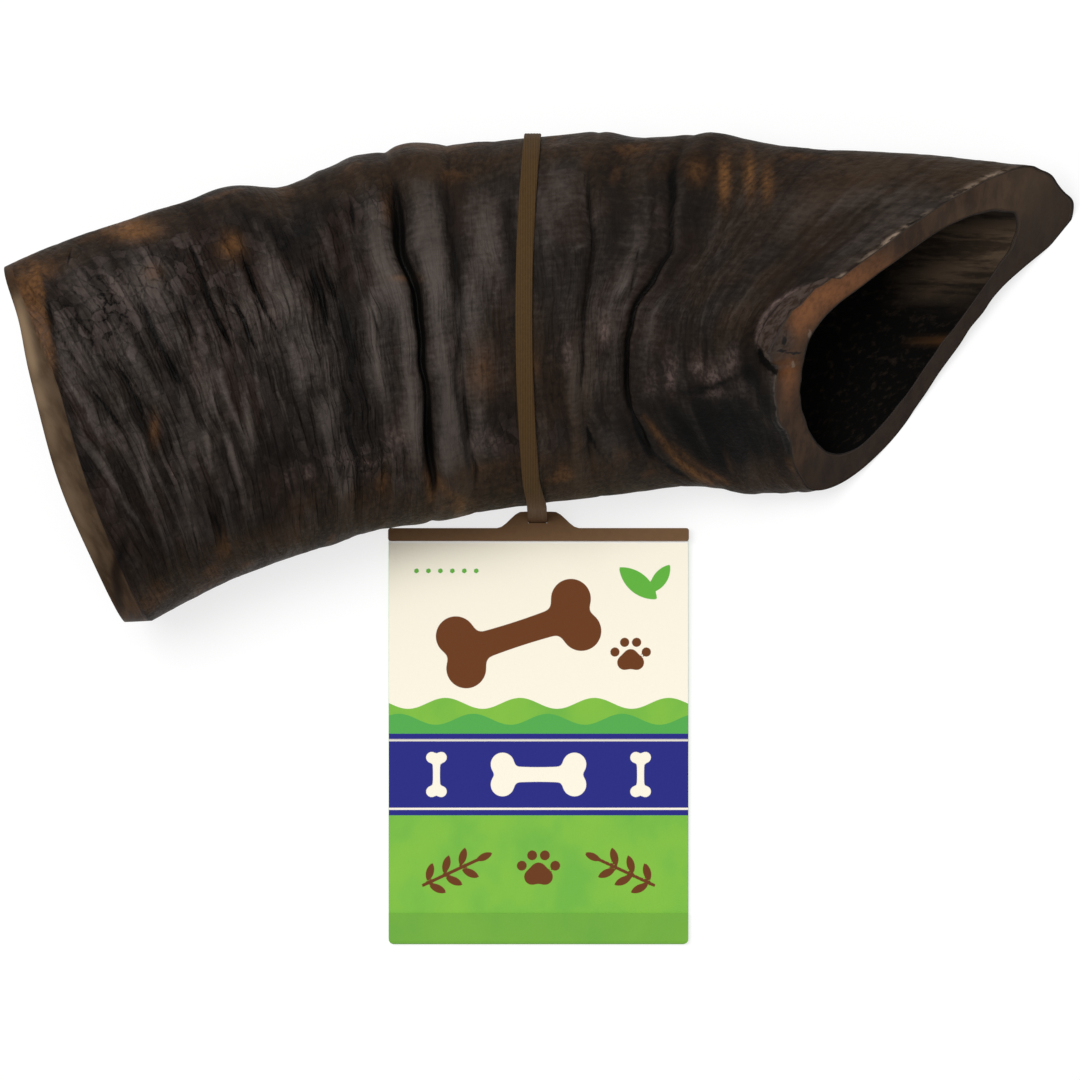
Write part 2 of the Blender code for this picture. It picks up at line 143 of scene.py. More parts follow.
# Single creases on the upper side, cut in and darkened with painted shade: the points each runs through, half
# width, depth
CREASES = (
    (((-59.5, 57.0), (-58.0, 53.0), (-56.5, 49.0), (-54.0, 44.0), (-51.5, 40.0)), 0.5, 0.8),
    (((-62.0, 48.5), (-59.0, 43.5), (-57.8, 40.0), (-56.0, 37.0)), 0.5, 0.8),
    (((-64.0, 43.5), (-61.0, 38.5)), 0.45, 0.57),
    (((-50.5, 55.5), (-48.0, 50.0)), 0.45, 0.69),
    (((-53.8, 52.5), (-52.0, 49.0)), 0.4, 0.57),
    (((-45.5, 53.0), (-43.6, 48.0), (-42.5, 43.0)), 0.45, 0.69),
    (((-43.5, 54.5), (-41.6, 50.0), (-40.2, 46.5)), 0.5, 0.69),
    (((-38.0, 68.0), (-37.3, 63.0), (-37.0, 60.5)), 0.65, 0.69),
    (((-41.0, 61.2), (-38.5, 60.2), (-35.5, 60.0)), 0.35, 0.57),
    (((-33.8, 47.0), (-32.5, 42.0), (-31.5, 38.5)), 0.4, 0.57),
    (((-70.0, 59.0), (-68.0, 54.5), (-66.2, 48.5), (-64.0, 43.0), (-61.0, 37.5)), 0.65, 0.85),
    (((-71.5, 49.5), (-70.0, 43.5), (-67.5, 38.0)), 0.4, 0.69),
    (((-64.5, 51.0), (-61.5, 45.0), (-59.5, 41.5)), 0.45, 0.57),
    (((-79.5, 48.0), (-77.5, 43.0), (-74.5, 36.5), (-70.8, 29.5)), 1, 0.69),
    (((-90.0, 30.5), (-86.5, 26.5), (-82.0, 20.5)), 0.55, 0.69),
    (((-86.5, 37.0), (-82.5, 32.0), (-79.5, 26.5), (-77.0, 19.5)), 0.45, 0.69),
    (((-84.0, 35.5), (-80.0, 30.0), (-76.3, 23.5)), 0.4, 0.57),
    (((-86.5, 56.0), (-84.5, 52.5), (-82.5, 50.0)), 0.45, 0.57),
    (((-93.5, 57.5), (-94.2, 54.0)), 0.45, 0.69),
    (((-101.0, 49.5), (-97.8, 47.0), (-96.6, 41.0)), 0.55, 0.57),
    (((-65.5, 6.0), (-64.0, 2.5), (-63.4, -1.0)), 0.55, 0.69),
    (((-50.5, 17.0), (-49.8, 12.0), (-48.8, 7.5)), 0.65, 0.69),
    (((-58.0, 28.0), (-56.8, 23.5), (-55.8, 19.5)), 0.55, 0.57),
    (((19.3, 59.5), (19.0, 54.5), (18.0, 50.0), (16.8, 46.5)), 0.45, 0.57),
    (((23.4, 67.0), (21.5, 63.5)), 0.4, 0.57),
    (((18.2, 23.5), (19.8, 20.5), (22.2, 17.2), (25.5, 14.4), (29.5, 12.0)), 0.65, 0.8),
    (((16.0, 21.0), (17.8, 18.0), (20.5, 14.8)), 0.55, 0.57),
    (((9.0, 22.0), (11.0, 18.0), (14.5, 13.8)), 0.55, 0.57),
)
# Ridges on the upper side that catch the light: the points each runs through, half width, strength
LIT_RIDGES = (
    (((-57.3, 50.5), (-55.0, 44.5), (-53.6, 41.0)), 0.6, 0.5),
    (((-56.8, 36.5), (-56.2, 30.0), (-55.0, 25.0), (-53.6, 19.5)), 0.55, 0.8),
    (((-59.5, 27.5), (-58.3, 23.0), (-57.0, 19.5)), 0.5, 0.6),
    (((-62.8, 20.5), (-61.0, 15.0), (-59.6, 10.5)), 0.45, 0.6),
    (((-44.6, 50.0), (-43.2, 45.0), (-41.4, 41.0), (-40.6, 34.0), (-40.2, 27.0)), 0.5, 0.6),
    (((-41.2, 49.0), (-40.2, 45.5)), 0.45, 0.8),
    (((-34.0, 50.0), (-33.0, 44.0), (-32.4, 38.0), (-31.8, 31.0)), 0.5, 0.4),
    (((-26.2, 33.0), (-25.4, 22.0)), 0.45, 0.5),
    (((-93.5, 31.0), (-90.0, 26.0), (-87.5, 20.5), (-86.0, 14.0)), 0.7, 0.5),
    (((-89.0, 36.5), (-85.5, 30.5), (-81.5, 25.0), (-79.0, 19.0), (-77.5, 10.0)), 0.6, 0.6),
    (((-79.5, 13.0), (-78.0, 8.5), (-76.5, 6.0)), 0.5, 0.6),
    (((-84.0, 8.0), (-81.0, 5.0), (-78.8, 3.5)), 0.5, 0.7),
    (((-69.0, 32.5), (-66.8, 27.0), (-66.0, 19.0), (-65.3, 12.0)), 0.5, 0.6),
    (((-67.6, 31.5), (-65.0, 24.0)), 0.4, 0.5),
    (((10.9, 33.0), (11.6, 27.0)), 0.5, 0.6),
    (((17.6, 52.5), (15.5, 48.5)), 0.8, 1.0),
    (((17.6, 47.5), (16.2, 44.5)), 0.7, 0.7),
    (((6.0, 57.0), (9.6, 58.8)), 0.5, 0.6),
)

# Marks on the upper side. A spot has its middle in X and Y, its half sizes and its strength; a streak
# has the points it runs through, a half width and a strength
AMBER_SPOTS = (
    (-77.0, 52.8, 1.8, 1.6, 0.35), (-81.0, 61.3, 4.5, 2.0, 1.0), (-61.5, 58.0, 2.2, 2.4, 0.7),
    (-76.5, 21.5, 1.0, 3.0, 0.4), (-99.0, 53.5, 3.0, 1.8, 0.45), (36.5, 71.5, 0.9, 4.6, 1.0),
    (41.5, 72.5, 0.8, 4.0, 0.9), (45.0, 70.5, 0.8, 3.6, 0.7), (31.0, 73.0, 1.8, 2.4, 0.4),
    (-27.0, 51.5, 3.0, 0.6, 0.4), (-30.0, 66.0, 1.5, 3.0, 0.4), (-12.0, 33.0, 2.5, 5.0, 0.25),
)
AMBER_STREAKS = (
    (((20.5, 24.0), (24.0, 19.5), (28.5, 14.5), (34.0, 11.0)), 0.8, 0.9),
    (((26.0, 19.0), (31.0, 14.8), (37.5, 11.0)), 0.5, 0.7),
    (((-21.0, 12.0), (-18.0, 8.6), (-13.5, 6.6)), 1.0, 0.3),
)
PALE_FLAKES = (
    (25.6, 33.0, 1.2, 3.4, 1.0), (31.0, 34.0, 1.2, 2.2, 0.8), (34.3, 31.8, 1.6, 2.0, 0.9),
    (38.0, 34.4, 1.4, 2.8, 0.8), (22.0, 30.5, 1.2, 2.2, 0.5), (35.5, 28.8, 4.0, 0.9, 0.7),
    (40.2, 31.0, 1.0, 1.6, 0.6), (5.2, 36.5, 0.7, 2.4, 0.9), (12.5, 41.5, 0.9, 2.6, 1.0),
    (-38.0, 15.5, 3.0, 1.6, 0.6), (-11.0, 19.0, 3.4, 2.0, 0.4), (-28.5, 20.0, 2.4, 1.6, 0.8),
    (-50.0, 12.5, 1.0, 2.0, 0.5), (-46.0, 13.0, 0.9, 1.4, 0.8), (-53.0, 43.5, 1.2, 1.8, 0.5),
    (-95.6, 48.0, 0.8, 1.6, 0.4), (-67.6, 45.0, 1.4, 2.4, 0.3), (-84.8, 48.5, 1.8, 2.2, 0.5),
    (-68.0, 36.0, 1.2, 5.0, 0.3), (-8.0, 60.0, 2.0, 4.0, 0.2),
)
PALE_STREAKS = (
    (((-36.0, 14.0), (-32.5, 15.6), (-29.0, 16.8)), 0.4, 0.6),
    (((-73.6, 14.5), (-72.0, 11.0)), 0.35, 0.9),
    (((55.0, 50.4), (50.0, 49.0), (46.0, 46.4), (43.6, 43.0), (42.8, 39.5), (43.2, 37.2)), 0.45, 0.8),
)
# Near-black patches: partly the horn's own dark, partly painted shade; those low in Y paint the lower flank's
# shade
DARK_AND_SHADE_PATCHES = (
    (-6.5, 63.0, 1.8, 6.0, 0.9), (-49.0, 61.0, 2.4, 3.5, 0.7), (37.0, 20.5, 12.0, 8.5, 1.5),
    (41.5, 33.0, 3.0, 4.5, 0.9), (-80.0, 7.0, 6.0, 4.0, 0.3), (18.0, 18.0, 5.0, 9.0, 0.6),
    (-37.0, 36.0, 2.6, 12.0, 0.5), (-3.0, 50.0, 2.5, 8.0, 0.5), (26.0, 50.0, 3.0, 9.0, 0.4),
    (-76.0, -1.0, 12.0, 8.0, 0.60), (-60.0, 5.0, 9.0, 7.0, 0.50), (-42.0, 21.0, 8.0, 8.0, 0.45),
    (-72.0, 40.0, 2.0, 12.0, 0.35), (-30.0, 33.0, 1.4, 9.0, 0.35), (-20.5, 25.0, 2.4, 8.0, 0.45),
    (50.0, 20.0, 4.0, 8.0, 0.5),
)
# Dark streaks; the last two run along the grooves at -26.6 and -16.0 along the horn as painted shade
DARK_AND_SHADE_STREAKS = (
    (((28.0, 29.0), (33.0, 29.8), (36.0, 30.8), (38.6, 32.2)), 0.6, 1.0),
    (((28.4, 36.5), (28.2, 32.0)), 0.5, 0.7),
    (((32.7, 41.0), (32.6, 36.0), (32.4, 33.0)), 0.4, 0.8),
    (((-82.5, 0.0), (-84.5, -7.0), (-83.5, -14.0)), 1.2, 0.8),
    (((-98.6, 50.0), (-96.8, 40.0), (-95.6, 31.0)), 0.7, 0.8),
    (((-48.5, 66.0), (-45.0, 57.0), (-41.0, 48.0), (-38.5, 38.0)), 1.8, 0.6),
    (((-30.5, 70.0), (-28.6, 58.0), (-25.2, 49.0), (-23.6, 38.0), (-22.4, 14.0)), 0.8, 0.9),
    (((-18.4, 60.0), (-16.2, 53.0), (-15.7, 44.0), (-17.2, 32.0), (-14.2, 12.0)), 0.5, 0.8),
)
BROWN_WASHES = (
    (-99.0, 52.0, 5.0, 4.0, 0.9), (-20.0, 74.0, 12.0, 5.0, 0.6), (50.0, 66.0, 22.0, 9.0, 0.40),
    (14.0, 73.0, 8.0, 5.0, 0.6), (39.0, 47.0, 10.0, 10.0, 0.7), (-22.0, 9.0, 22.0, 5.5, 1.2),
    (-6.0, 40.0, 6.0, 9.0, 0.5), (-72.0, -2.0, 12.0, 6.0, 0.6), (-84.0, 25.0, 3.0, 6.0, 0.3),
    (2.0, 28.0, 9.0, 14.0, 0.6), (25.0, 13.0, 20.0, 5.0, 0.8), (52.0, 14.0, 5.0, 6.0, 0.7),
)
PALE_WASHES = (
    (-20.5, 52.0, 3.2, 14.0, 0.30), (-11.5, 57.0, 3.6, 10.0, 0.40), (-87.0, 43.0, 9.0, 11.0, 0.75),
    (-53.0, 47.0, 5.0, 9.0, 0.50), (-13.0, 44.0, 3.0, 6.0, 0.20), (18.0, 59.0, 3.0, 10.0, 0.30),
    (60.0, 68.0, 20.0, 6.0, 0.45), (-47.0, 36.0, 4.0, 9.0, 0.35), (-33.0, 44.0, 1.6, 12.0, 0.35),
    (6.0, 32.0, 5.0, 5.0, 0.35), (-78.0, 52.0, 8.0, 5.0, 0.60), (-34.5, 63.0, 2.4, 6.0, 0.35),
    (-66.0, 30.0, 1.6, 12.0, 0.30), (-41.5, 48.0, 1.2, 9.0, 0.35),
)
# Where the skin is cracked like bark
BARKED = (
    (-87.0, 46.0, 11.0, 9.0, 0.8), (-70.0, 55.0, 11.0, 6.0, 0.7), (-33.0, 67.0, 6.0, 5.0, 0.8),
    (-62.0, 44.0, 6.0, 6.0, 0.4), (-36.0, 15.0, 8.0, 4.0, 0.8), (-6.0, 20.0, 12.0, 5.0, 0.6),
)
# Where the mouth's rim is lit through, and where it is paler
RIM_LIT_SPOTS = (
    (52.5, 45.0, 3.2, 3.0, 1.0), (57.0, 48.5, 4.0, 2.6, 1.0), (62.0, 51.5, 4.0, 2.4, 0.7),
    (67.0, 54.5, 5.0, 3.0, 0.4), (50.6, 41.5, 2.0, 2.4, 0.6), (49.2, 33.0, 1.8, 3.4, 0.7),
    (49.2, 28.0, 1.6, 3.0, 0.25),
)
RIM_PALE_SPOTS = ((101.0, 68.0, 9.0, 9.0, 0.22), (86.0, 63.0, 7.0, 3.0, 0.10))
# Paler streaks on the sanded edge of the base cut
BASE_PALE_STREAKS = (
    (((-104.0, 47.0), (-101.8, 39.0), (-100.2, 32.0)), 1.3, 0.8),
    (((-100.2, 32.0), (-98.4, 25.0)), 1.5, 0.6),
    (((-98.4, 25.0), (-96.2, 17.0)), 1.5, 0.4),
    (((-96.2, 17.0), (-92.4, 6.0), (-88.6, -5.0)), 1.4, 0.25),
)
# Marks in the bore, as spots: where it catches light, and where its edge is amber
BORE_SHEEN = ((90.0, 58.0, 9.0, 5.5, 1.6), (80.0, 51.0, 6.0, 4.0, 0.7))
BORE_AMBER = ((79.5, 39.8, 2.6, 0.9, 0.30),)
# Spots and streaks fade in above a level, so that they stay on the upper side
SPOT_LEVEL = 12.0
SPOT_FADE = 10.0
STREAK_LEVELS = (4.0, 12.0)
ANY_LEVEL = -100.0

# Knob on the mouth's rim, on the upper side: the line where it steps up from the skin, its height, and
# the width of the step; then the cracks beside it, as a start, an end, a depth and a half width
KNOB_EDGE = (
    (57.5, 51.6), (52.0, 49.6), (48.6, 47.2), (45.8, 43.4), (44.2, 39.8), (44.4, 37.4), (45.6, 35.6),
    (48.0, 33.6),
)
KNOB_RIM_SIDE = ((60.0, 33.0), (62.0, 50.0))
KNOB_HEIGHT = 2.0
KNOB_STEP = 1.3
KNOB_ROUGHNESS = 0.6
KNOB_MIDDLE = (46.5, 39.5)
# The knob's cracks are cut in and darkened with painted shade
KNOB_CRACKS = (
    ((43.4, 37.2), (43.9, 35.5), 1.0, 0.50),
    ((43.9, 35.5), (45.3, 34.0), 1.2, 0.60),
    ((45.3, 34.0), (47.2, 32.6), 1.2, 0.50),
)
# Pits in the rim, painted as dark shade, and glints on it, painted as highlights: middle in X and Y, half
# sizes in X and Y
RIM_PIT_SHADES = ((48.1, 39.2, 0.50, 1.0), (47.7, 37.2, 1.0, 0.30), (50.0, 36.8, 1.8, 0.22))
RIM_GLINTS = ((50.0, 34.6, 0.35, 0.7), (53.3, 40.6, 0.35, 0.9))
# Where the wall is thicker at the mouth: height in Y, extra height and half width; how far the swelling
# runs back from the mouth, and the roughness of the rim with its reach
RIM_SWELLS = ((19.5, 1.6, 7.5),)
RIM_SWELL_REACH = 4.0
RIM_ROUGHNESS = 0.22
RIM_ROUGH_REACH = 1.6

# Parts of the skin along the horn: where the left part ends, where the right part starts, and where the
# keel's brown grows wider
LEFT_END = (-46.0, -29.0)
RIGHT_START = (24.0, 30.0)
KEEL_WIDENS = (24.0, 32.0)

# Wrinkles: how far from the base their spacing has doubled, and their spacing at the base
WRINKLE_WIDENING = 110.0
WIDE_WRINKLE = 1.8
NARROW_WRINKLE = 0.85
FINE_LINE = 0.8
# Heights of the wide wrinkles, the narrow ones and the grit, on the left, the middle and the right
WRINKLE_HEIGHTS = ((0.50, 0.15, 0.05), (0.20, 0.07, 0.03), (0.06, 0.04, 0.02))

# Points round the horn and rows along it
COLUMNS = 208
BASE_EDGE_ROWS = 14
# Stretches of the skin: where each ends and how many rows it has
SKIN_STRETCHES = ((-22.0, 236), (54.0, 122), (69.0, 44))
RIM_ROWS = 12
BORE_ROWS = 22
BASE_RING_ROWS = 4

# Elastic strap
STRAP_WIDTH = 3.4
STRAP_THICKNESS = 0.6
STRAP_GAP = 0.06
STRAP_X_AT_EDGES = -1.5
STRAP_BOW = 1.9
STRAP_MIDDLE_Y = 44.0
STRAP_HALF_SPAN = 38.0
# Where the strap turns round the header, in Y and Z
STRAP_BRIDGE = (3.72, 1.55)
STRAP_WIDTH_AT_SLOT = 3.9
STRAP_EASE = 0.22
STRAP_RIBS = 11
STRAP_RIB_DEPTH = 0.05
# How far beside the strap the skin still carries it, and its turn from one ring of points to the next
STRAP_SIDE_REACH = 0.6
STRAP_BEND_STEP = 0.12
# Where the strap takes on the header's colour, in metres in Y
STRAP_HEADER_ZONE = (0.0055, 0.0095)
# Near the header the strap runs a little to the right: how far, from where in Y, and to where
STRAP_LOW_SHIFT = 0.8
STRAP_LOW_SHIFT_START = 12.0
STRAP_LOW_SHIFT_END = 5.0

# Header strip
HEADER_FOOT_Y = -0.5
HEADER_EASE = 0.14
HEADER_FLAT_ANGLE = 1.0
HEADER_SHARP_ANGLE = 50.0

# Folded card
CARD_WIDTH = 60.2
CARD_FOOT_Y = -81.5
CARD_TOP_Y = 1.35
CARD_THICKNESS = 0.9
CARD_LIFT_AT_TOP = 0.87
CARD_MIDDLE_X = -0.5
LEAF = 0.32
FLAP_HEIGHT = 5.6
FLAP_THICKNESS = 0.33
CARD_CORNER = 1.0
# How far the front leaf stays inside the card at its foot and at its sides
FRONT_FOOT_GAP = 0.8
FRONT_SIDE_GAP = 0.05
FRONT_GRID = (150, 205)
BACK_GRID = (24, 180)

# The card's printed fields, as distances down from the header strip
NAVY_FROM = 38.7
NAVY_TO = 55.1
NAVY_MIDDLE = (NAVY_FROM + NAVY_TO) / 2.0
NAVY_LINE = 6.9
INK_EDGE = 0.07
BAND_EDGE = 0.06


def ramp(value, start, end):
    """0 up to the start, 1 from the end on, and smooth between them."""
    share = np.clip((value - start) / (end - start), 0.0, 1.0)
    return share * share * (3.0 - 2.0 * share)


def bell(distance, half_width):
    """1 at no distance, and less and less away from there."""
    return np.exp(-((distance / half_width) ** 2))


# Noise: random values on a lattice, blended smoothly; positions are in lattice steps
LATTICE = np.random.default_rng(11).random((48, 48, 48))


def noise(x, y, z):
    """Values from -1 to 1 that wander smoothly from place to place."""
    cells = [np.floor(c).astype(int) for c in (x, y, z)]
    shares = []
    for c, cell in zip((x, y, z), cells):
        t = c - cell
        shares.append(t * t * (3.0 - 2.0 * t))
    total = 0.0
    for corner in range(8):
        steps = (corner & 1, corner >> 1 & 1, corner >> 2 & 1)
        weight = 1.0
        for share, step in zip(shares, steps):
            weight = weight * (share if step else 1.0 - share)
        place = tuple((cell + step) % LATTICE.shape[0] for cell, step in zip(cells, steps))
        total = total + weight * LATTICE[place]
    return 2.0 * total - 1.0


def folded(x, y, z):
    """Noise folded at its middle: nought along winding valleys, more on the ground between them."""
    return np.abs(noise(x, y, z))


def crested(fold):
    """Folded noise as thin crests with broad ground between them, 0 to 1."""
    return 1.0 - ramp(fold, 0.0, 0.42)


def rounded(fold):
    """Folded noise as wrinkles: rounded crests with narrow valleys, 0 to 1."""
    return np.tanh(3.0 * fold) ** 0.7


PLACES = np.array([row[0] for row in SECTIONS])
VALUES = np.array([row[1:] for row in SECTIONS])
SLOPES = np.gradient(VALUES, PLACES, axis=0)


def section(along):
    """The table's columns at places along the horn, on a smooth curve through its rows."""
    row = np.clip(np.searchsorted(PLACES, along) - 1, 0, len(PLACES) - 2)
    span = PLACES[row + 1] - PLACES[row]
    t = ((along - PLACES[row]) / span)[..., None]
    span = span[..., None]
    ahead = t * t * (3.0 - 2.0 * t)
    leave = t * (1.0 - t) ** 2 * span
    arrive = t * t * (t - 1.0) * span
    found = (VALUES[row] * (1.0 - ahead) + VALUES[row + 1] * ahead
             + SLOPES[row] * leave + SLOPES[row + 1] * arrive)
    return np.moveaxis(found, -1, 0)


def outline_point(outline, turn):
    """Points of a closed outline, on a Catmull-Rom curve through its points; turn is 0 to 1."""
    corners = np.array(outline)
    step = (turn % 1.0) * len(corners)
    first = step.astype(int)
    t = (step - first)[..., None]
    before, start, end, after = (corners[(first + k) % len(corners)] for k in (-1, 0, 1, 2))
    found = 0.5 * (2.0 * start + (end - before) * t
                   + (2.0 * before - 5.0 * start + 4.0 * end - after) * t ** 2
                   + (3.0 * start - before - 3.0 * end + after) * t ** 3)
    return np.moveaxis(found, -1, 0)


def growth_wander(growth, dy, dz):
    """Growth lines aren't true: they wander a little to and fro round the horn."""
    slow = noise(growth / 26.0, dy / 15.0, dz / 15.0)
    quick = noise(growth / 9.0 + 7.0, dy / 5.5, dz / 5.5)
    return (1.3 * slow + 0.55 * quick) * (0.55 + 0.45 * ramp(growth, -60.0, -35.0))


def bend_drift(growth, dy, dz):
    """How far the line that lies at a growth value has drifted towards the mouth."""
    start, whole, fading, faded = BEND_DRIFT_PLACES
    heights, drifts = zip(*BEND_DRIFT)
    drift = np.interp(dy, heights, drifts) * ramp(dz, *BEND_DRIFT_DEPTHS)
    line = growth
    for _ in range(BEND_DRIFT_STEPS):
        line = growth - drift * ramp(line, start, whole) * (1.0 - ramp(line, fading, faded))
    return growth - line


def ring_relief(growth, rise, dy, dz):
    """Height of the growth rings, the fields that colour them with a painted highlight on the crests and
    painted shade in the hollows, and the growth lines' wandering places.
    """
    wandering = growth + growth_wander(growth, dy, dz) - bend_drift(growth, dy, dz)
    for place, reach, height_y, half_height, shift in LINE_BENDS:
        wandering += shift * bell(growth - place, reach) * bell(dy - height_y, half_height)
    left = 1.0 - ramp(growth, *LEFT_END)
    right = ramp(growth, *RIGHT_START)
    middle = (1.0 - left) * (1.0 - right)
    keel = ramp(rise, 0.70, 0.92)
    low = ramp(-rise, 0.75, 0.95)

    from_base = np.maximum(wandering - PLACES[0], 0.0)
    widening = 1.0 + from_base / WRINKLE_WIDENING
    steps = from_base / widening
    wide_fold = folded(steps / WIDE_WRINKLE, dy / 24.0 + 3.0, dz / 24.0)
    narrow_fold = folded(steps / NARROW_WRINKLE + 19.0, dy / 15.0, dz / 15.0 + 5.0)
    grit = noise(wandering / FINE_LINE, dy / 3.0 + 2.0, dz / 3.0)
    strength = 0.75 + 0.25 * noise(growth / 11.0, dy / 11.0, dz / 11.0 + 4.0)
    plate_edge = dy + 5.0 * noise(growth / 12.0 + 1.0, dy / 12.0, dz / 12.0)
    plated = ramp(plate_edge, -4.0, 14.0) * 0.75 + 0.15
    wide = plated * (rounded(wide_fold) - 0.75) + (1.0 - plated) * (0.95 * crested(wide_fold) - 0.30)
    narrow = rounded(narrow_fold) - 0.75
    rings = np.zeros_like(growth)
    for part, (of_wide, of_narrow, of_grit) in zip((left, middle, right), WRINKLE_HEIGHTS):
        rings += (of_wide * wide + of_narrow * narrow + of_grit * grit) * part
    crests = np.zeros_like(growth)
    for place, crest, half_width in CRESTS:
        crests += crest * bell(wandering - place, half_width)

    grooves = np.zeros_like(growth)
    for place, depth, half_width in MAIN_GROOVES:
        varied = depth * (1.0 + 0.35 * noise(dy / 9.0 + place, dz / 9.0, 0.0))
        offset = wandering - place
        grooves += varied * (0.55 * bell(offset, half_width) + 0.45 * bell(offset, 0.55 * half_width))
    kept = 1.0 - 0.70 * keel - 0.85 * low
    height = (strength * rings - grooves + crests) * kept
    for place, swell, half_width in KEEL_SWELLS:
        height += swell * bell(growth - place, half_width) * ramp(rise, 0.5, 0.95)
    height += keel * 0.28 * noise(growth / 5.0, dy / 5.0, dz / 4.0)
    height += (low + right * ramp(-rise, 0.1, 0.5)) * 0.12 * noise(growth / 3.4, dy / 4.0 + 9.0, dz / 4.0)
    lined = (left + 0.32 * middle + 0.12 * right) * (1.0 - 0.6 * keel - 0.5 * low)
    narrowest = 0.16 / widening ** 2
    # Painted shade in the bottoms of the wrinkles
    valleys = np.maximum(plated * (1.0 - ramp(wide_fold, 0.0, np.maximum(narrowest, 0.07))),
                         0.40 * (1.0 - ramp(narrow_fold, 0.0, 0.16 / widening)))
    broad = noise(wandering / 3.2 + 40.0, dy / 16.0, dz / 16.0)
    fine = noise(wandering / FINE_LINE + 60.0, dy / 24.0, dz / 24.0) * right * (1.0 - low)
    height += 0.05 * fine
    # Tone that follows the relief: crests lighter as a painted highlight, hollows darker as painted shade,
    # with random broad tone over it
    tones = ((wide + 0.15 * narrow) * (left + 0.35 * middle + 0.10 * right)
             + 0.55 * broad * (0.7 * left + middle + 0.6 * right) + 0.75 * crests) * kept + 0.32 * fine
    fields = {"groove": grooves * kept, "rings": tones, "lined": lined, "valley": valleys * lined}
    return height, fields, wandering


def distance_to_segment(x, y, start, end):
    ax, ay = start
    bx, by = end
    length = math.hypot(bx - ax, by - ay)
    share = np.clip(((x - ax) * (bx - ax) + (y - ay) * (by - ay)) / length ** 2, 0.0, 1.0)
    return np.hypot(x - ax - share * (bx - ax), y - ay - share * (by - ay))


def knob_share(x, y):
    """How far up the knob's step a place is: nought on the skin, 1 on the knob."""
    corners = KNOB_EDGE + KNOB_RIM_SIDE
    inside = np.zeros(x.shape, dtype=bool)
    for (ax, ay), (bx, by) in zip(corners, corners[1:] + corners[:1]):
        beside = (ay > y) != (by > y)
        inside ^= beside & (x < (bx - ax) * (y - ay) / (by - ay) + ax)
    reach = np.full(x.shape, np.inf)
    for start, end in zip(KNOB_EDGE, KNOB_EDGE[1:]):
        reach = np.minimum(reach, distance_to_segment(x, y, start, end))
    return ramp(np.where(inside, reach, -reach), -0.3 * KNOB_STEP, 0.7 * KNOB_STEP)


def base_bow(along, y):
    """How far the base cut stands out from a flat cut, less and less along the horn."""
    bow = sum(reach * bell(y - middle, half_width) for reach, middle, half_width in BASE_BOWS)
    return bow * (1.0 - ramp(along - PLACES[0], 0.0, BASE_BOW_REACH))


def skin_points(along, turn, edge):
    """Points of the outer skin, and the fields that its material reads."""
    centre_y, half_height, centre_z, lean, lag, line_lean, line_lag, mouth = section(along)
    base_rise, base_near = outline_point(BASE_OUTLINE, turn)
    mouth_rise, mouth_near = outline_point(MOUTH_OUTLINE, turn)
    rise = base_rise * (1.0 - mouth) + mouth_rise * mouth
    near = base_near * (1.0 - mouth) + mouth_near * mouth
    dy = rise * half_height
    dz = near * HALF_DEPTH
    growth = along + (lean - line_lean) * dy + (lag - line_lag) * dz
    height, fields, wandering = ring_relief(growth, rise, dy, dz)
    narrowed = 0.10 + 0.55 * ramp(rise, 0.25, 0.95)
    sanded = ramp(edge, narrowed, narrowed + 0.08)
    height = height * (1.0 - sanded)

    x = along + lean * dy + lag * dz
    y = centre_y + dy
    up = ramp(near, 0.1, 0.4)
    knob = knob_share(x, y) * up
    height = height * (1.0 - knob) + knob * (KNOB_HEIGHT + KNOB_ROUGHNESS * noise(x / 1.5, y / 1.5, dz / 2.2))
    from_mouth = PLACES[-1] - along
    for swell_y, swell, half_width in RIM_SWELLS:
        height += swell * bell(y - swell_y, half_width) * bell(from_mouth, RIM_SWELL_REACH) * up
    height += RIM_ROUGHNESS * noise(dy / 3.2, dz / 3.2, 8.0) * bell(from_mouth, RIM_ROUGH_REACH)
    depth_here = BASE_EDGE_DEPTH + (BASE_EDGE_DEPTH_AT_KEEL - BASE_EDGE_DEPTH) * ramp(rise, 0.55, 0.95)
    height -= depth_here * edge
    grow = 1.0 + height / np.hypot(dy, dz)
    y = centre_y + dy * grow
    z = np.maximum(centre_z + dz * grow, 0.0)
    x = along + lean * (y - centre_y) + lag * (z - centre_z) - base_bow(along, y)
    crack = np.zeros_like(height)
    for start, end, depth, half_width in KNOB_CRACKS:
        crack = np.maximum(crack, depth * bell(distance_to_segment(x, y, start, end), half_width) * up)
    points = np.stack([x, y, z], axis=-1)
    creased = streaks(points, CREASES) * (0.95 + 0.30 * noise(x / 2.0, y / 5.0, z / 5.0 + 50.0))
    points[..., 2] = np.maximum(z - crack - creased, 0.0)
    # Painted shade in the grooves, the knob's cracks and the creases
    fields["groove"] = fields["groove"] + 2.0 * crack + 2.0 * creased
    fields["knob"] = ramp(knob, 0.35, 0.8)
    # Lit ridges go into the tone as painted highlights, with the paler washes
    fields["rings"] = fields["rings"] + spots(points, PALE_WASHES) + streaks(points, LIT_RIDGES)
    fields.update(skin_marks(points, growth, dy, dz, rise, near, along))
    fields["amber"] = fields["amber"] * (1.0 - sanded)
    fields["pale"] = fields["pale"] * (1.0 - sanded) + streaks(points, BASE_PALE_STREAKS) * sanded
    fields.update({"grain": np.stack([wandering, dy, dz], axis=-1), "cut": sanded})
    return points, fields


def spots(points, places, level=SPOT_LEVEL):
    """Soft spots above a level, each given by its middle, its half sizes and its strength."""
    total = np.zeros(points.shape[:2])
    up = ramp(points[..., 2], level, level + SPOT_FADE)
    for x, y, half_x, half_y, strength in places:
        reach = np.hypot((points[..., 0] - x) / half_x, (points[..., 1] - y) / half_y)
        total += strength * bell(reach, 1.0) * up
    return total


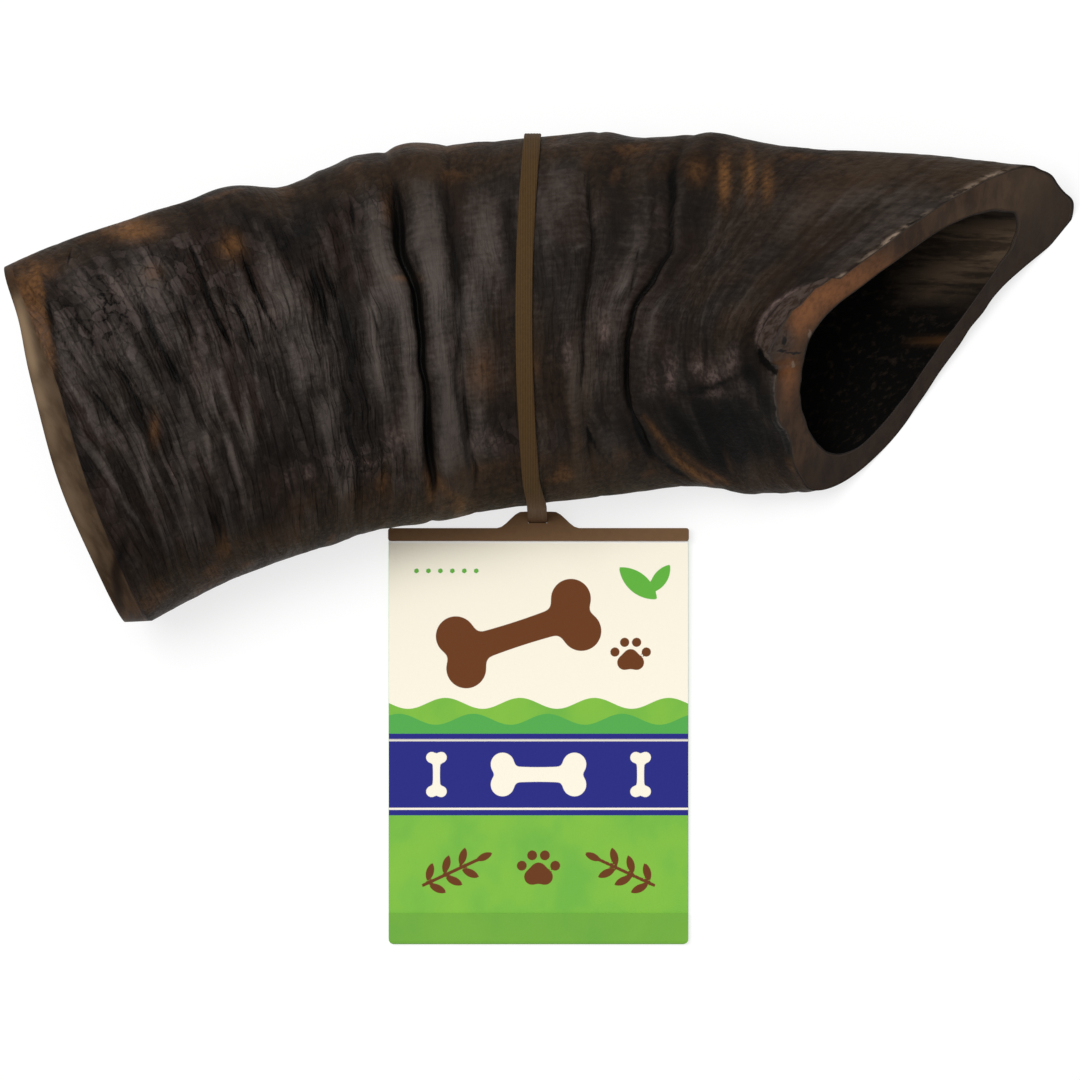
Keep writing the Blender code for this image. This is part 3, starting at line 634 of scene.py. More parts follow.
def streaks(points, paths):
    """Soft lines on the upper side, each given by the points it runs through, a half width and a strength."""
    x, y = points[..., 0], points[..., 1]
    total = np.zeros(points.shape[:2])
    up = ramp(points[..., 2], *STREAK_LEVELS)
    for path, half_width, strength in paths:
        from_end = np.minimum(*(np.hypot(x - end_x, y - end_y) for end_x, end_y in (path[0], path[-1])))
        whole = ramp(from_end, -STREAK_TAPER, STREAK_TAPER)
        for start, end in zip(path, path[1:]):
            apart = distance_to_segment(x, y, start, end)
            line = bell(apart, half_width * (0.3 + 0.7 * whole))
            total = np.maximum(total, strength * whole * line * up)
    return total


def skin_marks(points, growth, dy, dz, rise, near, along):
    """Where the skin is brown, amber, pale, cracked like bark, flaked at the rim, or near black."""
    right = ramp(growth, *KEEL_WIDENS)
    waver = 0.06 * noise(growth / 6.0, dy / 6.0, dz / 6.0)
    keel = ramp(rise + waver, 0.76 - 0.10 * right, 0.94) + ramp(-rise + waver, 0.70, 0.92)
    keel += spots(points, BROWN_WASHES) * ramp(noise(growth / 4.0, dy / 6.0 + 5.0, dz / 6.0), -0.7, 0.1)
    amber = spots(points, AMBER_SPOTS) + streaks(points, AMBER_STREAKS)
    amber += 0.22 * keel * ramp(noise(growth / 4.0 + 3.0, dy / 9.0, dz / 3.0), 0.30, 0.8)
    from_base = along - PLACES[0] - BASE_EDGE_LENGTH
    chipped = ramp(rise, 0.30, 0.45) * (1.0 - 0.7 * ramp(rise, 0.82, 0.95)) * ramp(near, -0.2, 0.2)
    torn = 0.5 * noise(dy / 2.5, dz / 2.5, 0.0)
    amber += 0.62 * (1.0 - ramp(from_base + torn, 2.2 * rise - 1.0, 2.2 * rise - 0.2)) * chipped
    amber *= ramp(from_base, -4.6, -3.4)
    x, y = points[..., 0], points[..., 1]
    torn_flakes = 0.5 + 0.5 * ramp(noise(x / 1.6, y / 2.4, dz / 3.0), -0.5, 0.3)
    pale = spots(points, PALE_FLAKES) * torn_flakes + streaks(points, PALE_STREAKS)
    from_mouth = PLACES[-1] - along
    torn_off = noise(dy / 1.6, dz / 1.6, 5.0) + noise(dy / 4.5, dz / 4.5, 0.0)
    torn_bits = ramp(torn_off, -0.60, 0.30)
    high = ramp(y, 40.0, 50.0)
    flaked = bell(from_mouth - 0.25 * high, 0.35 + 0.25 * high) * ramp(near, -0.1, 0.2)
    flaked = flaked * (torn_bits * high + 0.30 * (1.0 - high) * ramp(y, 8.0, 16.0))
    flaked = flaked * (1.0 - knob_share(x, y))
    # Near black: the horn's own dark patches and streaks, and painted shade on the lower flank and by the
    # grooves
    dark = spots(points, DARK_AND_SHADE_PATCHES) * (1.0 + 0.6 * noise(growth / 3.0 + 30.0, dy / 6.0, dz / 6.0))
    dark += streaks(points, DARK_AND_SHADE_STREAKS)
    marks = {"keel": keel, "amber": amber, "pale": pale, "flaked": flaked, "barked": spots(points, BARKED)}
    marks = {name: np.clip(values, 0.0, 1.0) for name, values in marks.items()}
    marks["dark"] = np.clip(dark, 0.0, 1.2)
    return marks


def plain_fields(points, grain, cut):
    """The fields of a face that has none of the skin's marks."""
    blank = np.zeros(points.shape[:2])
    names = "keel amber pale flaked dark groove rings lined valley barked knob"
    fields = dict.fromkeys(names.split(), blank)
    fields.update({"grain": grain, "cut": blank + cut})
    return fields


def bore_points(along, turn):
    """Points of the bore, from the base cut's outline to the mouth's own, with a rough surface."""
    centre_y, half_height, centre_z, lean, lag, _, _, mouth = section(along)
    rise, near = outline_point(BASE_OUTLINE, turn)
    mouth_rise, mouth_near = outline_point(BORE_OUTLINE_AT_MOUTH, turn)
    dy = (rise * BORE_RISE_AT_BASE * (1.0 - mouth) + mouth_rise * mouth) * half_height
    dz = (near * BORE_NEAR_AT_BASE * (1.0 - mouth) + mouth_near * mouth) * HALF_DEPTH
    rough = 0.30 * noise(along / 6.0, dy / 5.0, dz / 5.0) * ramp(along, PLACES[0], PLACES[0] + 6.0)
    rough *= 1.0 - ramp(along, PLACES[-1] - 4.0, PLACES[-1])
    rough += 0.28 * noise(dy / 2.6 + 3.0, dz / 2.6, 0.0) * ramp(along, PLACES[-1] - 6.0, PLACES[-1])
    grow = 1.0 + rough / np.hypot(dy, dz)
    dy, dz = dy * grow, dz * grow
    x = along + lean * dy + lag * dz - base_bow(along, centre_y + dy)
    points = np.stack([x, centre_y + dy, centre_z + dz], axis=-1)
    fields = plain_fields(points, np.stack([along, dy, dz], axis=-1), 0.0)
    # The keel field here carries the bore's painted sheen
    fields["keel"] = spots(points, BORE_SHEEN, ANY_LEVEL)
    fields["amber"] = spots(points, BORE_AMBER, ANY_LEVEL)
    return points, fields


def ring_between(outer, inner, shares):
    """Rows of a sawn face between two rings of points."""
    points = np.stack([outer * (1.0 - share) + inner * share for share in shares])
    fields = plain_fields(points, points.copy(), 1.0)
    # The amber field on the sawn faces carries painted light where the rim looks lit through
    fields["amber"] = spots(points, RIM_LIT_SPOTS)
    fields["dark"] = 0.6 * ramp(-points[..., 2], -24.0, -8.0)
    from_knob = np.hypot(points[..., 0] - KNOB_MIDDLE[0], points[..., 1] - KNOB_MIDDLE[1])
    fields["knob"] = 0.8 * (1.0 - ramp(from_knob, 2.0, 5.0))
    fields["keel"] = ramp(points[..., 0], -20.0, 20.0)
    fields["pale"] = spots(points, RIM_PALE_SPOTS, ANY_LEVEL)
    return points, fields


def grid_mesh(name, columns, rows, size):
    """A flat square grid as a mesh, with its points' places across and along."""
    bm = bmesh.new()
    bmesh.ops.create_grid(bm, x_segments=columns, y_segments=rows, size=size)
    mesh = bpy.data.meshes.new(name)
    bm.to_mesh(mesh)
    bm.free()
    flat = np.empty(len(mesh.vertices) * 3)
    mesh.vertices.foreach_get("co", flat)
    return mesh, flat[0::3], flat[1::3]


def wrapped_mesh(name, points, fields, second_rows=(0, 0)):
    """A closed tube: a grid wrapped round both ways, whose second rows of faces take a second material."""
    rows, columns = points.shape[:2]
    mesh, across, along = grid_mesh(name, columns, rows, 1.0)
    column = np.rint((across + 1.0) / 2.0 * columns).astype(int) % columns
    corner_rows = np.rint((along + 1.0) / 2.0 * rows).astype(int)
    row = corner_rows % rows
    mesh.vertices.foreach_set("co", (points[row, column] * MM).ravel())
    first_row, last_row = second_rows
    for face in mesh.polygons:
        middle = sum(corner_rows[k] for k in face.vertices) / len(face.vertices)
        face.material_index = int(first_row <= middle < last_row)
    for field, values in fields.items():
        kind, key = ("FLOAT_VECTOR", "vector") if values.ndim == 3 else ("FLOAT", "value")
        attribute = mesh.attributes.new(field, kind, "POINT")
        attribute.data.foreach_set(key, values[row, column].ravel())
    weld_and_face_out(mesh)
    return mesh


def weld_and_face_out(mesh):
    bm = bmesh.new()
    bm.from_mesh(mesh)
    bmesh.ops.remove_doubles(bm, verts=bm.verts, dist=1e-7)
    bmesh.ops.recalc_face_normals(bm, faces=bm.faces)
    bm.to_mesh(mesh)
    bm.free()
    mesh.shade_smooth()


def new_piece(name, mesh, material):
    piece = bpy.data.objects.new(name, mesh)
    bpy.context.scene.collection.objects.link(piece)
    mesh.materials.append(material)
    return piece


# Materials

def new_material(name, roughness, specular=0.5):
    material = bpy.data.materials.new(name)
    material.use_nodes = True
    shader = material.node_tree.nodes["Principled BSDF"]
    shader.inputs["Roughness"].default_value = roughness
    shader.inputs["Specular IOR Level"].default_value = specular
    return material, material.node_tree, shader


def add_node(tree, kind, **settings):
    node = tree.nodes.new(kind)
    for key, value in settings.items():
        setattr(node, key, value)
    return node


def socket_in(tree, socket, value):
    """Puts a number, a colour or another node's output on a socket."""
    if isinstance(value, bpy.types.NodeSocket):
        tree.links.new(value, socket)
    else:
        socket.default_value = value


def calculate(tree, operation, *values, clamp=False):
    node = add_node(tree, "ShaderNodeMath", operation=operation, use_clamp=clamp)
    for socket, value in zip(node.inputs, values):
        socket_in(tree, socket, value)
    return node.outputs[0]


def times(tree, first, second, clamp=False):
    return calculate(tree, "MULTIPLY", first, second, clamp=clamp)


def scaled(tree, vector, scale, offset=(0.0, 0.0, 0.0)):
    """A vector times a scale, plus an offset."""
    node = add_node(tree, "ShaderNodeVectorMath", operation="MULTIPLY_ADD")
    for socket, value in zip(node.inputs, (vector, scale, offset)):
        socket_in(tree, socket, value)
    return node.outputs[0]


def texture(tree, kind, vector, **settings):
    """A texture node that takes its scale from the vector put in."""
    node = add_node(tree, kind, **settings)
    socket_in(tree, node.inputs["Vector"], vector)
    node.inputs["Scale"].default_value = 1.0
    return node


def noise_value(tree, vector, detail=3.0, roughness=0.55):
    node = texture(tree, "ShaderNodeTexNoise", vector)
    node.inputs["Detail"].default_value = detail
    node.inputs["Roughness"].default_value = roughness
    return node.outputs["Fac"]


def shaken(tree, place, around, reach):
    """A place moved to and fro, at most by reach, by noise that is read at another scale."""
    return scaled(tree, texture(tree, "ShaderNodeTexNoise", around).outputs["Color"], reach, place)


def field(tree, name):
    node = add_node(tree, "ShaderNodeAttribute", attribute_name=name)
    return node.outputs["Vector"] if name == "grain" else node.outputs["Fac"]


def on_object(tree):
    return add_node(tree, "ShaderNodeTexCoord").outputs["Object"]


def grain_noise(tree, scale, offset=(0.0, 0.0, 0.0), detail=3.0, roughness=0.55):
    """Noise on the growth lines' own coordinates: along the horn, and the two ways across it."""
    return noise_value(tree, scaled(tree, field(tree, "grain"), scale, offset), detail, roughness)


def even_noise(tree, scale, detail=3.0):
    """Noise on the object's own coordinates, with so many steps to the metre."""
    return noise_value(tree, scaled(tree, on_object(tree), (scale, scale, scale)), detail)


def smooth_range(tree, value, start, end, low=0.0, high=1.0):
    """The low value up to the start, the high value from the end on, and smooth between them."""
    node = add_node(tree, "ShaderNodeMapRange", interpolation_type="SMOOTHSTEP")
    keys = ("Value", "From Min", "From Max", "To Min", "To Max")
    for key, entry in zip(keys, (value, start, end, low, high)):
        socket_in(tree, node.inputs[key], entry)
    return node.outputs["Result"]


def within(tree, share, guide, *limits):
    """A share times the smooth range of a guide, such as specks that break it up."""
    return times(tree, share, smooth_range(tree, guide, *limits))


def mix_colour(tree, share, first, second):
    node = add_node(tree, "ShaderNodeMix", data_type="RGBA")
    socket_in(tree, node.inputs[0], share)
    for socket, value in ((node.inputs[6], first), (node.inputs[7], second)):
        socket_in(tree, socket, value if isinstance(value, bpy.types.NodeSocket) else (*value, 1.0))
    return node.outputs[2]


def layered(tree, colour, *layers):
    """Tints laid over a colour one by one, each with the share that it covers."""
    for share, tint in layers:
        colour = mix_colour(tree, share, colour, tint)
    return colour


def dress(tree, shader, colour, height, bump):
    """Puts a colour on the shader, and a bump of a height as deep as bump, in metres."""
    tree.links.new(colour, shader.inputs["Base Color"])
    node = add_node(tree, "ShaderNodeBump")
    node.inputs["Distance"].default_value = bump
    tree.links.new(height, node.inputs["Height"])
    tree.links.new(node.outputs["Normal"], shader.inputs["Normal"])


def srgb(red, green, blue):
    """A screen colour, 0 to 255, as the linear values that the shader takes."""
    return tuple(((c / 255.0 + 0.055) / 1.055) ** 2.4 for c in (red, green, blue))


# Near black, for the horn's own dark and for painted shade in grooves, cracks and pits
HORN_BLACK_AND_SHADE = srgb(6, 5, 4)
HORN_DARK = srgb(18, 14, 12)
HORN_MIDDLE = srgb(31, 26, 22)
HORN_PALE_AND_HIGHLIGHT = srgb(77, 69, 64)
HORN_RED = srgb(40, 27, 20)
BLOCK_PINK = srgb(84, 70, 68)
FLAKE = srgb(104, 87, 82)
# Pale colour of the flaked rim edge, also used for the rim's painted glints
FLAKED_EDGE_AND_GLINT = srgb(138, 120, 104)
KEEL_BROWN = srgb(55, 40, 26)
KEEL_DARK = srgb(28, 18, 11)
AMBER = srgb(116, 78, 43)
CUT_BROWN = srgb(56, 42, 29)
CUT_TAN = srgb(75, 60, 45)
CUT_PALE = srgb(134, 112, 88)
CUT_LIT = srgb(130, 82, 48)
RIM_BROWN = srgb(66, 46, 29)
RIM_DARK = srgb(46, 31, 19)
KNOB_GREY = srgb(70, 58, 52)
KNOB_BROWN = srgb(46, 34, 27)
BORE_DARK = srgb(8, 7, 6)
BORE_BROWN_AND_SHEEN = srgb(78, 64, 51)
STRAP_DARK = srgb(56, 39, 18)
STRAP_PALE = srgb(88, 65, 34)
STRAP_AT_HEADER = srgb(88, 62, 41)
# The header's browns, painted lighter than its own brown as painted light to make up for the horn's shade on
# it
HEADER_BROWNS = (srgb(102, 74, 47), srgb(116, 85, 55))
CREAM = srgb(250, 243, 224)
WHITE = srgb(255, 253, 248)
BROWN_INK = srgb(106, 58, 24)
LEAF_GREEN = srgb(98, 178, 62)
WAVE_GREEN = srgb(84, 170, 78)
LIME = srgb(130, 190, 66)
LIME_DEEP = srgb(112, 180, 68)
FLAP_GREEN = srgb(104, 160, 58)
NAVY = srgb(37, 40, 130)


def weighted_sum(tree, *terms):
    """The sum of values, each times its own weight."""
    total = 0.0
    for value, weight in terms:
        total = calculate(tree, "MULTIPLY_ADD", value, weight, total)
    return total


def from_middle(tree, value):
    """How far a noise is from its middle: nought on winding lines, more on the plates between them."""
    return calculate(tree, "ABSOLUTE", calculate(tree, "SUBTRACT", value, 0.5))


def small_marks(tree, places):
    """Small marks with torn edges on the upper side: 1 in a mark, 0 outside."""
    place = on_object(tree)
    torn = shaken(tree, scaled(tree, place, (1.0, 1.0, 0.0), (-0.0004, -0.0004, 0.0)),
                  scaled(tree, place, (1200.0, 1200.0, 1200.0)), (0.0008, 0.0008, 0.0))
    total = 0.0
    for x, y, half_x, half_y in places:
        centred = scaled(tree, torn, (1.0 / (half_x * MM), 1.0 / (half_y * MM), 0.0),
                         (-x / half_x, -y / half_y, 0.0))
        reach = add_node(tree, "ShaderNodeVectorMath", operation="LENGTH")
        tree.links.new(centred, reach.inputs[0])
        mark = smooth_range(tree, reach.outputs["Value"], 0.7, 1.2, 1.0, 0.0)
        total = calculate(tree, "MAXIMUM", total, mark)
    return total


def bark_pattern(tree, lined, broken):
    """The bark's cells: the cracks between them, a shade for each cell, and where there is bark."""
    grain = field(tree, "grain")
    wobbly = shaken(tree, scaled(tree, grain, (0.60, 0.33, 0.33)), scaled(tree, grain, (1.3, 0.8, 0.8)),
                    (0.4, 0.4, 0.4))
    edges = texture(tree, "ShaderNodeTexVoronoi", wobbly, feature="DISTANCE_TO_EDGE").outputs["Distance"]
    shades = texture(tree, "ShaderNodeTexVoronoi", wobbly, feature="F1").outputs["Color"]
    barked = weighted_sum(tree, (field(tree, "barked"), 0.9), (lined, 0.30))
    crackle = times(tree, times(tree, smooth_range(tree, edges, 0.0, 0.12, 1.0, 0.0), barked), broken)
    return crackle, shades, barked


def cut_colour(tree, specks, dark):
    """The sawn faces: tan at the base, browner and partly lit at the mouth."""
    grained = smooth_range(tree, grain_noise(tree, (0.60, 0.16, 0.16), detail=4.0), 0.35, 0.65)
    base_colour = mix_colour(tree, grained, CUT_BROWN, CUT_TAN)
    rim_colour = mix_colour(tree, grained, RIM_DARK, RIM_BROWN)
    # Painted light on the rim, read from the amber field
    lit = within(tree, field(tree, "amber"), specks, 0.30, 0.62, 0.6, 1.0)
    return layered(
        tree, base_colour,
        (field(tree, "keel"), rim_colour),
        (field(tree, "pale"), CUT_PALE),
        (smooth_range(tree, dark, 0.0, 1.0), KEEL_DARK),
        (lit, CUT_LIT),
    )


def horn_material():
    material, tree, shader = new_material("horn_keratin", 0.5, 0.06)
    cut, lined = field(tree, "cut"), field(tree, "lined")
    groove, dark = field(tree, "groove"), field(tree, "dark")
    lines = from_middle(tree, grain_noise(tree, (0.55, 0.070, 0.070), (3.0, 9.0, 2.0), 2.0, 0.5))
    bands = grain_noise(tree, (0.16, 0.025, 0.025), (0.3, 0.7, 0.2), roughness=0.6)
    patches = grain_noise(tree, (0.09, 0.07, 0.07), (2.0, 7.0, 4.0))
    crossing = grain_noise(tree, (0.22, 1.25, 1.25), detail=2.0, roughness=0.5)
    specks = grain_noise(tree, (1.0, 0.8, 0.8), roughness=0.6)
    broken = smooth_range(tree, specks, 0.38, 0.56, 0.2, 1.0)
    crackle, shades, barked = bark_pattern(tree, lined, broken)
    blocks = times(tree, calculate(tree, "SUBTRACT", shades, 0.5), barked)
    # Painted shade in hairline cracks, wrinkle valleys and the bark's cracks, laid on as near black
    hairlines = times(tree, smooth_range(tree, lines, 0.0, 0.022, 1.0, 0.0), lined)
    cracked = times(tree, weighted_sum(tree, (hairlines, 0.15), (field(tree, "valley"), 0.60)), broken)
    cracked = calculate(tree, "ADD", cracked, times(tree, crackle, 0.6), clamp=True)
    plates = smooth_range(tree, lines, 0.0, 0.12)
    plates = times(tree, calculate(tree, "SUBTRACT", plates, 0.62), lined)
    crossed = times(tree, calculate(tree, "SUBTRACT", crossing, 0.5),
                    calculate(tree, "MULTIPLY_ADD", lined, -0.06, 0.20))

    # The rings field in the tone carries painted highlights on the crests and painted shade in the hollows
    tone = weighted_sum(tree, (plates, 0.05), (bands, 0.30), (specks, 0.24), (patches, 0.30),
                        (field(tree, "rings"), 0.25), (crossed, 0.9), (blocks, 0.20), (1.0, 0.07))
    mottled = weighted_sum(tree, (specks, 0.45), (bands, 0.55))
    brown = mix_colour(tree, smooth_range(tree, mottled, 0.34, 0.64), KEEL_DARK, KEEL_BROWN)
    knob_colour = mix_colour(tree, smooth_range(tree, specks, 0.35, 0.60), KNOB_BROWN, KNOB_GREY)
    pinkish = times(tree, smooth_range(tree, shades, 0.52, 0.62, 0.0, 0.25), barked, clamp=True)
    warm = within(tree, field(tree, "amber"), specks, 0.34, 0.6, 0.45, 0.95)
    flakes = within(tree, field(tree, "pale"), specks, 0.42, 0.62, 0.3, 1.0)
    edge_line = within(tree, field(tree, "flaked"), specks, 0.36, 0.56)
    # Painted shade in the rim's pits, and painted highlights for its glints
    pit_shade = within(tree, small_marks(tree, RIM_PIT_SHADES), cut, 0.2, 0.6, 0.0, 0.95)
    glints = within(tree, small_marks(tree, RIM_GLINTS), cut, 0.2, 0.6, 0.0, 0.45)
    colour = layered(
        tree, HORN_DARK,
        (smooth_range(tree, tone, 0.28, 0.52), HORN_MIDDLE),
        (smooth_range(tree, patches, 0.46, 0.62, 0.0, 0.50), HORN_RED),
        (smooth_range(tree, tone, 0.44, 0.80), HORN_PALE_AND_HIGHLIGHT),
        (pinkish, BLOCK_PINK),
        (times(tree, field(tree, "keel"), 0.85), brown),
        (warm, AMBER),
        (flakes, FLAKE),
        # Near black from the dark field, partly painted shade
        (times(tree, dark, 0.80, clamp=True), HORN_BLACK_AND_SHADE),
        (cracked, HORN_BLACK_AND_SHADE),
        (edge_line, FLAKED_EDGE_AND_GLINT),
        (smooth_range(tree, cut, 0.35, 0.65), cut_colour(tree, specks, dark)),
        (times(tree, field(tree, "knob"), 0.92), knob_colour),
        # Painted shade in the grooves, cracks and creases
        (smooth_range(tree, groove, 0.45, 1.3, 0.0, 0.92), HORN_BLACK_AND_SHADE),
        (pit_shade, HORN_BLACK_AND_SHADE),
        (glints, FLAKED_EDGE_AND_GLINT),
    )

    tree.links.new(smooth_range(tree, tone, 0.3, 0.7, 0.62, 0.42), shader.inputs["Roughness"])
    height = weighted_sum(tree, (plates, 0.3), (bands, 0.5), (crossed, 0.3), (specks, 0.22), (cracked, -0.35))
    uncut = weighted_sum(tree, (1.0, 1.0), (cut, -0.85))
    dress(tree, shader, colour, times(tree, height, uncut), 0.0010)
    return material


def bore_material():
    material, tree, shader = new_material("horn_bore", 0.85, 0.04)
    streaked = grain_noise(tree, (0.12, 0.50, 0.50), detail=4.0, roughness=0.6)
    specks = grain_noise(tree, (0.7, 0.7, 0.7), detail=4.0, roughness=0.6)
    # Painted sheen, read from the keel field
    sheen = within(tree, field(tree, "keel"), streaked, 0.38, 0.60, 0.3, 1.0)
    colour = layered(
        tree, BORE_DARK,
        (smooth_range(tree, specks, 0.50, 0.75, 0.0, 0.16), BORE_BROWN_AND_SHEEN),
        (sheen, BORE_BROWN_AND_SHEEN),
        (field(tree, "amber"), AMBER),
    )
    dress(tree, shader, colour, weighted_sum(tree, (streaked, 0.5), (specks, 0.3)), 0.0006)
    return material


def strap_material():
    material, tree, shader = new_material("strap_elastic", 0.75, 0.15)
    place = on_object(tree)
    weave = even_noise(tree, 1800.0, 2.0)
    ribs = add_node(tree, "ShaderNodeTexWave", wave_type="BANDS", bands_direction="X")
    ribs.inputs["Scale"].default_value = 620.0
    ribs.inputs["Distortion"].default_value = 0.6
    tree.links.new(place, ribs.inputs["Vector"])
    share = calculate(tree, "ADD", times(tree, weave, 0.5), times(tree, ribs.outputs["Fac"], 0.3))
    upwards = add_node(tree, "ShaderNodeSeparateXYZ")
    tree.links.new(place, upwards.inputs[0])
    at_header = smooth_range(tree, upwards.outputs["Y"], *STRAP_HEADER_ZONE, 0.75, 0.0)
    colour = layered(tree, STRAP_DARK, (share, STRAP_PALE), (at_header, STRAP_AT_HEADER))
    dress(tree, shader, colour, share, 0.0002)
    return material


def header_material():
    material, tree, shader = new_material("header_brown", 0.6, 0.15)
    fibre = even_noise(tree, 900.0)
    dress(tree, shader, mix_colour(tree, fibre, *HEADER_BROWNS), fibre, 0.00005)
    return material


# Horn

def make_horn():
    base, mouth = PLACES[0], PLACES[-1]
    turns = np.arange(COLUMNS) / COLUMNS
    edge_share = np.linspace(0.0, 1.0, BASE_EDGE_ROWS, endpoint=False)
    starts = [base + BASE_EDGE_LENGTH, *(end for end, _ in SKIN_STRETCHES)]
    along = np.concatenate([
        base + BASE_EDGE_LENGTH * edge_share,
        [base + BASE_EDGE_LENGTH],
        *(np.linspace(start, end, rows + 1)[1:] for start, (end, rows) in zip(starts, SKIN_STRETCHES)),
    ])
    edge = np.concatenate([1.0 - edge_share, np.zeros(len(along) - BASE_EDGE_ROWS)])
    along_grid, turn_grid = np.meshgrid(along, turns, indexing="ij")
    edge_grid = np.repeat(edge[:, None], COLUMNS, axis=1)
    skin, skin_fields = skin_points(along_grid, turn_grid, edge_grid)

    bore_along = np.linspace(mouth, base, BORE_ROWS)
    bore_grid, bore_turns = np.meshgrid(bore_along, turns, indexing="ij")
    bore, bore_fields = bore_points(bore_grid, bore_turns)

    rim_shares = np.linspace(0.0, 1.0, RIM_ROWS + 2)[1:-1]
    rim, rim_fields = ring_between(skin[-1], bore[0], rim_shares)
    base_shares = np.linspace(1.0, 0.0, BASE_RING_ROWS + 2)[1:-1]
    ring, ring_fields = ring_between(skin[0], bore[-1], base_shares)
    points = np.concatenate([skin, rim, bore, ring])
    fields = {key: np.concatenate([part[key] for part in (skin_fields, rim_fields, bore_fields, ring_fields)])
              for key in skin_fields}
    mesh = wrapped_mesh("horn_sheath", points, fields, (len(skin) + len(rim), len(points) - len(ring)))
    piece = new_piece("horn_sheath", mesh, horn_material())
    mesh.materials.append(bore_material())
    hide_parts("horn")
    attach(piece, "root")
    return skin


# Strap

def strap_x(y):
    """The strap bows a little towards the base over the middle of the horn."""
    share = np.minimum(np.abs(y - STRAP_MIDDLE_Y) / STRAP_HALF_SPAN, 1.0)
    shift = STRAP_LOW_SHIFT * ramp(y, STRAP_LOW_SHIFT_START, STRAP_LOW_SHIFT_END)
    return STRAP_X_AT_EDGES - STRAP_BOW * (1.0 - share * share) + shift


def strap_route(skin):
    """The strap's middle line in Y and Z, with its outward direction: taut round the horn and the slot."""
    around = skin.reshape(-1, 3)
    under = around[np.abs(around[:, 0] - strap_x(around[:, 1])) < STRAP_WIDTH / 2.0 + STRAP_SIDE_REACH]
    flat = [Vector((y, z)) for _, y, z in under]
    flat.append(Vector(STRAP_BRIDGE))
    hull = [flat[k] for k in convex_hull_2d(flat)]
    if sum(a.cross(b) for a, b in zip(hull, hull[1:] + hull[:1])) < 0.0:
        hull.reverse()
    reach = STRAP_GAP + STRAP_THICKNESS / 2.0
    route = []
    for k, point in enumerate(hull):
        into = point - hull[k - 1]
        out = hull[(k + 1) % len(hull)] - point
        start = math.atan2(-into.x, into.y)
        bend = (math.atan2(-out.x, out.y) - start) % (2.0 * math.pi)
        steps = max(1, round(bend / STRAP_BEND_STEP))
        for j in range(steps + 1):
            angle = start + bend * j / steps
            outward = Vector((math.cos(angle), math.sin(angle)))
            route.append((point + outward * reach, outward))
    return route


def make_strap(skin):
    route = strap_route(skin)
    half, thick = STRAP_WIDTH / 2.0, STRAP_THICKNESS / 2.0
    wider = STRAP_WIDTH_AT_SLOT / STRAP_WIDTH - 1.0
    ease = STRAP_EASE
    profile = [(-half + ease, -thick), (half - ease, -thick), (half, -thick + ease), (half, thick - ease)]
    across = np.linspace(half - ease, -half + ease, STRAP_RIBS)
    profile += [(s, thick - STRAP_RIB_DEPTH * (k % 2)) for k, s in enumerate(across)]
    profile += [(-half, thick - ease), (-half, -thick + ease)]
    middles = np.array([middle[:] for middle, _ in route])
    outwards = np.array([outward[:] for _, outward in route])
    side, lift = np.array(profile).T[:, None, :]
    y = middles[:, :1] + outwards[:, :1] * lift
    z = np.maximum(middles[:, 1:] + outwards[:, 1:] * lift, 0.0)
    widened = 1.0 + wider * ramp(middles[:, :1], STRAP_LOW_SHIFT_START, STRAP_LOW_SHIFT_END)
    x = strap_x(middles[:, :1]) + side * widened
    mesh = wrapped_mesh("elastic_strap", np.stack([x, y, z], axis=-1), {})
    piece = new_piece("elastic_strap", mesh, strap_material())
    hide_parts("strap")
    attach(piece, "root")


# Header strip

def make_header():
    """The CAD strip with its triangles merged into flat faces and its edges eased."""
    bm = bmesh.new()
    bm.from_mesh(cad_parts["header_strip"].data)
    bmesh.ops.remove_doubles(bm, verts=bm.verts, dist=1e-6)
    bmesh.ops.dissolve_limit(bm, angle_limit=math.radians(HEADER_FLAT_ANGLE), verts=bm.verts, edges=bm.edges)
    sharp = [edge for edge in bm.edges if edge.calc_face_angle(0.0) > math.radians(HEADER_SHARP_ANGLE)]
    bmesh.ops.bevel(bm, geom=sharp, offset=HEADER_EASE * MM, offset_type="OFFSET", affect="EDGES",
                    segments=2, profile=0.5, material=-1, clamp_overlap=True)
    mesh = bpy.data.meshes.new("folded_header")
    bm.to_mesh(mesh)
    bm.free()
    piece = new_piece("folded_header", mesh, header_material())
    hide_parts("header_strip")
    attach(piece, "root")


# Card

def circle(u, v, middle_u, middle_v, radius):
    return np.hypot(u - middle_u, v - middle_v) - radius


def turned(u, v, middle_u, middle_v, degrees):
    """A shape's own axes: its middle moved to nought and its length turned to the level."""
    cosine, sine = math.cos(math.radians(degrees)), math.sin(math.radians(degrees))
    across, down = u - middle_u, v - middle_v
    return across * cosine + down * sine, down * cosine - across * sine


def blended(first, second, reach):
    """Two shapes joined with a fillet."""
    share = np.clip(0.5 + 0.5 * (second - first) / reach, 0.0, 1.0)
    return second * (1.0 - share) + first * share - reach * share * (1.0 - share)


def bone(u, v, middle_u, middle_v, length, degrees):
    """Distance to a plain bone: a bar with two lobes at each end, joined by fillets."""
    a, b = turned(u, v, middle_u, middle_v, degrees)
    half, lobe = length * 0.38, length * 0.125
    waist = lobe * (0.62 + 0.14 * (a / half) ** 2)
    shape = np.maximum(np.abs(a) - half, np.abs(b) - waist)
    for end_a in (-half, half):
        for end_b in (-lobe * 0.85, lobe * 0.85):
            shape = blended(shape, circle(a, b, end_a, end_b, lobe), lobe * 0.5)
    return shape


